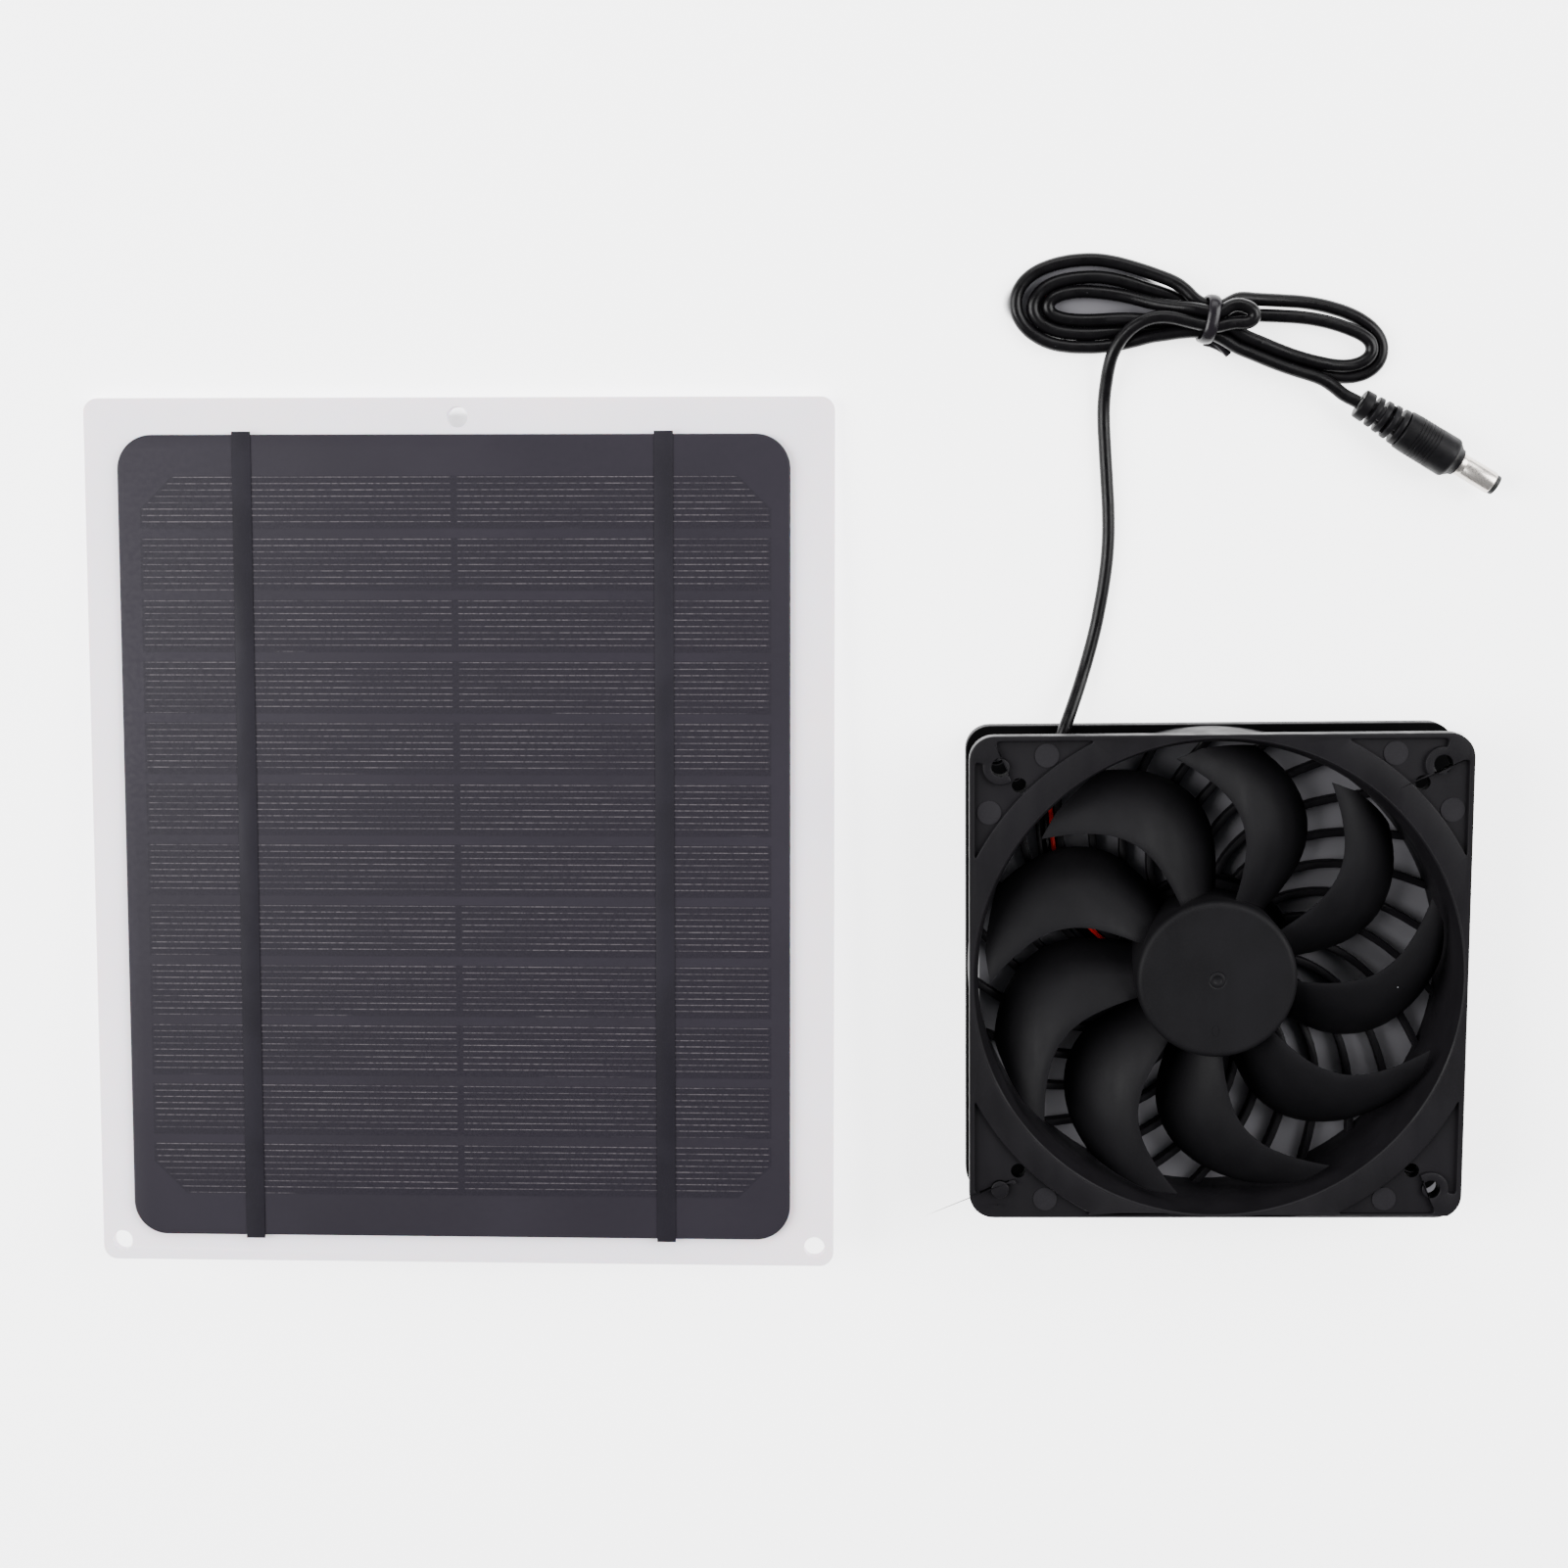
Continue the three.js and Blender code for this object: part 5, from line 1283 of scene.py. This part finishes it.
    def wall(self, mesh: bmesh.types.BMesh) -> None:
        """Adds the duct's wall, open where the wires pass through it."""
        lip = self.mouth_depth
        upper = [(self.bore, self.slot_top), (self.duct, self.slot_top), (self.duct, self.depth - 0.05)]
        upper += [(self.mouth + 0.35, self.depth - 0.02), (self.mouth, self.depth - 0.3),
                  (self.mouth - 0.15, self.depth - 1.2), (self.bore + 0.3, self.depth - lip),
                  (self.bore, self.depth - lip - 1.5)]
        lathe(mesh, upper, 144)
        lower = [(self.bore, 0.3), (self.bore + 0.3, 0.0), (self.duct, 0.0), (self.duct, self.slot_top),
                 (self.bore, self.slot_top)]
        start, end = self.slot
        corners = [mesh.verts.new(Matrix.Rotation(math.radians(end), 3, "Z") @ Vector((r * MM, 0, z * MM)))
                   for r, z in lower]
        cap = mesh.faces.new(corners)
        bmesh.ops.spin(mesh, geom=[cap, *cap.edges, *cap.verts], cent=(0, 0, 0), axis=(0, 0, 1),
                       angle=math.radians(360 + start - end), steps=140, use_merge=False, use_duplicate=False)

    def paint_gap_shade(self, obj: bpy.types.Object) -> None:
        """Gives the faces between the flanges and the walls of the screw and rivet holes, where little light
        reaches, a near-black plastic as painted shade.

        Args:
            obj: The frame.
        """
        obj.data.materials.append(self.book.materials["gap_painted_shade"])
        for face in obj.data.polygons:
            x = abs(face.center.x / MM - self.centre[0])
            y = abs(face.center.y / MM - self.centre[1])
            z = face.center.z / MM
            # Painted shade: the upward faces between the flanges and the walls of the screw and rivet holes.
            in_gap = face.normal.z > 0.9 and abs(z - self.flange) < 0.05 and min(x, y) < self.side / 2 - 1
            near = min(math.hypot(x - at, y - at) - r for at, r in (
                (self.screw_at, self.screw), (self.rivet_at, self.rivet)))
            if in_gap or (near < 0.05 and abs(face.normal.z) < 0.5):
                face.material_index = 1

    def build(self) -> None:
        """Builds the whole frame as one piece."""
        mesh, pins = bmesh.new(), bmesh.new()
        self.flanges(mesh, pins)
        self.wall(mesh)
        for k in range(self.rib_count):
            self.rib(mesh, self.rib_first + 360 / self.rib_count * k, -self.rib_width / 2, self.rib_width / 2,
                     self.rib_high)
        guide = self.rib_first + 360 / self.rib_count * self.guide_rib
        self.rib(mesh, guide, 0.0, self.guide_width, self.rib_low + 1.0)
        self.rib(mesh, guide, self.guide_width - 1.0, self.guide_width, self.rib_high)
        disc = [(5.5, 0.8), (self.base - 0.3, 0.8), (self.base, 1.1)]
        disc += arc((self.base - 0.3, 3.9), 0.3, 0, 90, 3)
        disc += [(self.base - 1.3, 4.2), (self.base - 1.5, 4.0), (self.base - 1.5, 2.6), (5.5, 2.6)]
        lathe(mesh, disc, 96)
        for part in (mesh, pins):
            bmesh.ops.translate(part, vec=(self.centre[0] * MM, self.centre[1] * MM, 0), verts=part.verts)
        spots = new_piece("pin_marks", pins, 32)
        self.book.wear(spots, "frame_plastic", "pin_mark")
        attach(spots, Body.FAN.value)
        obj = new_piece("fan_housing", mesh, 32)
        self.book.wear(obj, "frame_plastic")
        self.paint_gap_shade(obj)
        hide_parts("fan_frame")
        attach(obj, Body.FAN.value)


@dataclass
class Impeller:
    """The nine-bladed rotor cup."""

    book: FinishBook
    centre: Point = (109.7, -33.9)
    blades: int = 9
    hub_radius: float = 19.4
    hub_wall: float = 1.4
    hub_low: float = 6.0
    hub_top: float = 24.4
    hub_edge: float = 1.5
    tip_radius: float = 56.2
    point_radius: float = 54.9
    thickness: float = 1.5
    rim_thickness: float = 0.7
    spans: int = 30
    chords: int = 18
    leading: tuple[tuple[float, float], ...] = (
        (18, 35.9), (25, 36.2), (31, 37.4), (36, 39.6), (40, 42.5), (44, 46.6), (48, 51.8), (52, 57.2),
        (55, 61))
    trailing: tuple[tuple[float, float], ...] = (
        (18, 4.6), (25, 5.8), (32, 8), (36, 10), (40, 13), (44, 17), (48, 22.5), (52, 29.5), (56.2, 39))
    leading_height: tuple[tuple[float, float], ...] = ((18, 19.6), (30, 21.2), (55, 22.6))
    trailing_height: tuple[tuple[float, float], ...] = ((18, 6.2), (40, 6.4), (57, 8.6))

    def point(self, s: float, t: float) -> Vector:
        """A point on the first blade's middle surface.

        Args:
            s: From 0 at the root to 1 at the tip.
            t: From 0 at the leading edge to 1 at the trailing edge.

        Returns:
            The point in millimetres about the fan's axis.
        """
        root = self.hub_radius - self.hub_wall / 2
        tip = self.point_radius + (self.tip_radius - self.point_radius) * min(1.0, t * 3)
        r = root + (tip - root) * s
        angle = math.radians(smooth_row(self.leading, r) * (1 - t) + smooth_row(self.trailing, r) * t)
        high, low = smooth_row(self.leading_height, r), smooth_row(self.trailing_height, r)
        z = high - (high - low) * (0.45 * t + 0.55 * t * t)
        return Vector((r * math.cos(angle), r * math.sin(angle), z))

    def blade(self, mesh: bmesh.types.BMesh, turn: Matrix) -> None:
        """Adds one blade with rounded rims.

        Args:
            mesh: Where the blade goes.
            turn: The blade's turn about the axis.
        """
        tiny = 1e-3
        faces: list[list[list[bmesh.types.BMVert]]] = [[], []]
        for i in range(self.spans + 1):
            rows: list[list[bmesh.types.BMVert]] = [[], []]
            for j in range(self.chords + 1):
                s = i / self.spans
                t = 0.5 - 0.5 * math.cos(math.pi * j / self.chords)
                here = self.point(s, t)
                across = self.point(s, t + tiny) - self.point(s, t - tiny)
                out = self.point(s + tiny, t) - self.point(s - tiny, t)
                normal = across.cross(out).normalized()
                rim = min(1.0, 12 * t, 12 * (1 - t), 18 * (1 - s) + 0.15)
                crown = (self.thickness - self.rim_thickness) * 4 * t * (1 - t)
                half = max(0.06, (self.rim_thickness * rim ** 0.5 + crown) / 2)
                for k, way in enumerate((1, -1)):
                    rows[k].append(mesh.verts.new(turn @ ((here + normal * half * way) * MM)))
            for k in range(2):
                faces[k].append(rows[k])
        for i in range(self.spans):
            for j in range(self.chords):
                a, b = faces[0][i], faces[0][i + 1]
                mesh.faces.new((a[j], a[j + 1], b[j + 1], b[j]))
                a, b = faces[1][i], faces[1][i + 1]
                mesh.faces.new((a[j], b[j], b[j + 1], a[j + 1]))
        loop = [(0, j) for j in range(self.chords)] + [(i, self.chords) for i in range(self.spans)]
        loop += [(self.spans, j) for j in range(self.chords, 0, -1)]
        loop += [(i, 0) for i in range(self.spans, 0, -1)]
        for k, (i, j) in enumerate(loop):
            i2, j2 = loop[(k + 1) % len(loop)]
            mesh.faces.new((faces[0][i][j], faces[1][i][j], faces[1][i2][j2], faces[0][i2][j2]))

    def build(self) -> None:
        """Builds the rotor cup and its blades as one piece."""
        mesh = bmesh.new()
        middle = Matrix.Translation((self.centre[0] * MM, self.centre[1] * MM, 0))
        inner = self.hub_radius - self.hub_wall
        roof = self.hub_top - 1.6
        profile = [(0.0, roof), (inner, roof), (inner, self.hub_low + 0.2), (inner + 0.2, self.hub_low),
                   (self.hub_radius - 0.3, self.hub_low), (self.hub_radius, self.hub_low + 0.3)]
        bend = (self.hub_radius - self.hub_edge, self.hub_top - self.hub_edge)
        profile += arc(bend, self.hub_edge, 0, 90, 8)
        profile += [(r, self.hub_top) for r in (17.4, 12.0, 6.0, 3.0, 2.3, 2.15)]
        gate = ((2.05, -0.1), (1.9, -0.12), (1.75, 0.04), (1.2, 0.04), (1.0, -0.2), (0.0, -0.22))
        profile += [(r, self.hub_top + rise) for r, rise in gate]
        lathe(mesh, profile, 160, middle)
        for k in range(self.blades):
            self.blade(mesh, middle @ Matrix.Rotation(2 * math.pi * k / self.blades, 4, "Z"))
        mark = [(1.05, self.hub_top - 0.02), (1.25, self.hub_top - 0.02), (1.2, self.hub_top + 0.06),
                (1.1, self.hub_top + 0.06)]
        squash = Matrix.Diagonal((0.75, 1.2, 1.0, 1.0))
        spot = middle @ Matrix.Translation((-0.3 * MM, -12.6 * MM, 0)) @ squash
        lathe(mesh, mark, 28, spot)
        obj = new_piece("fan_rotor", mesh, 50)
        self.book.wear(obj, "rotor_plastic")
        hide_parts("impeller")
        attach(obj, Body.ROTOR.value)


# ------------------------------------------------------------------------------ panel


@dataclass
class SolarPanel:
    """The laminate sheet on the frosted plate, with its cells and its two tapes."""

    book: FinishBook
    centre: Point = (-75.8, -0.1)
    yaw: float = math.radians(-0.6)
    half_height: float = 108.3
    box_depth: float = 11.5
    box_edge: float = 66.0
    sheet: tuple[float, float] = (166.0, 200.5)
    sheet_radius: float = 8.5
    sheet_shift: tuple[float, float] = (-1.1, -1.0)
    sheet_low: float = 3.3
    sheet_top: float = 4.9
    tape_width: float = 4.7
    tape_spread: float = 104.0

    def place(self) -> Matrix:
        """Returns the placing of a shape drawn flat about the plate's middle."""
        tilt = -math.atan2(self.box_depth, self.half_height + self.box_edge)
        lift = -math.sin(tilt) * self.half_height
        spot = Matrix.Translation((self.centre[0] * MM, self.centre[1] * MM, lift * MM))
        return spot @ Matrix.Rotation(self.yaw, 4, "Z") @ Matrix.Rotation(tilt, 4, "X")

    def face(self) -> None:
        """Builds the laminate sheet with its cells under the film."""
        mesh = bmesh.new()
        outline = rounded_rectangle(*self.sheet, self.sheet_radius, self.sheet_shift, 14)
        slab(mesh, outline, self.sheet_low, self.sheet_top, 0.5, 4)
        layer = mesh.loops.layers.uv.new("flat")
        for face in mesh.faces:
            for loop in face.loops:
                loop[layer].uv = (loop.vert.co.x * 10, loop.vert.co.y * 10)
        bmesh.ops.transform(mesh, matrix=self.place(), verts=mesh.verts)
        obj = new_piece("panel_face", mesh, 50)
        self.book.wear(obj, "laminate")
        cells = [f"cell_strip_{i:02d}" for i in range(1, 13)]
        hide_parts("laminate_sheet", "left_ribbon", "right_ribbon", *cells)
        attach(obj, Body.PANEL.value)

    def tapes(self) -> None:
        """Builds the two thin tapes that run down the sheet."""
        for side, node in ((-1, "left_tape"), (1, "right_tape")):
            mesh = bmesh.new()
            x = self.sheet_shift[0] + side * self.tape_spread / 2
            reach = self.sheet[1] / 2 + 0.7
            half = self.tape_width / 2
            y = self.sheet_shift[1]
            outline = [(x + a * half, y + b * reach) for a, b in ((1, 1), (-1, 1), (-1, -1), (1, -1))]
            slab(mesh, outline, self.sheet_top + 0.02, self.sheet_top + 0.24, 0.1, 2)
            bmesh.ops.transform(mesh, matrix=self.place(), verts=mesh.verts)
            obj = new_piece(f"{node}_strip", mesh, 50)
            self.book.wear(obj, "tape")
            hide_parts(node)
            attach(obj, Body.PANEL.value)

    def build(self) -> None:
        """Builds the panel's visible face."""
        self.face()
        self.tapes()


# ------------------------------------------------------------------------------ kept parts


@dataclass
class KeptParts:
    """Fixed parts that show their own shape, with a finish and softened edges."""

    book: FinishBook
    edges: dict[str, float] = field(default_factory=lambda: {
        "backing_plate": 0.35, "box_tray": 0.5, "box_lid": 0.6, "socket_body": 0.2})

    def build(self) -> None:
        """Puts the record's finish on every fixed part."""
        slots = {part["node"]: part["material_slot"] for part in frame["record"]["subparts"]}
        for node, obj in frame["nodes"].items():
            self.book.wear(obj, slots[node])
            if node in self.edges:
                weld = obj.modifiers.new("joined_corners", "WELD")
                weld.merge_threshold = 2e-6
                soften = obj.modifiers.new("soft_edges", "BEVEL")
                soften.width = self.edges[node] * MM
                soften.segments = 3
                soften.limit_method = "ANGLE"
                soften.angle_limit = math.radians(50)
                soften.harden_normals = True


def main() -> None:
    """Builds the whole kit on its stage."""
    Studio().build()
    book = FinishBook(PLAIN_FINISHES)
    KeptParts(book).build()
    Lead(book).build()
    Housing(book).build()
    Impeller(book).build()
    SolarPanel(book).build()


if __name__ == "__main__":
    main()
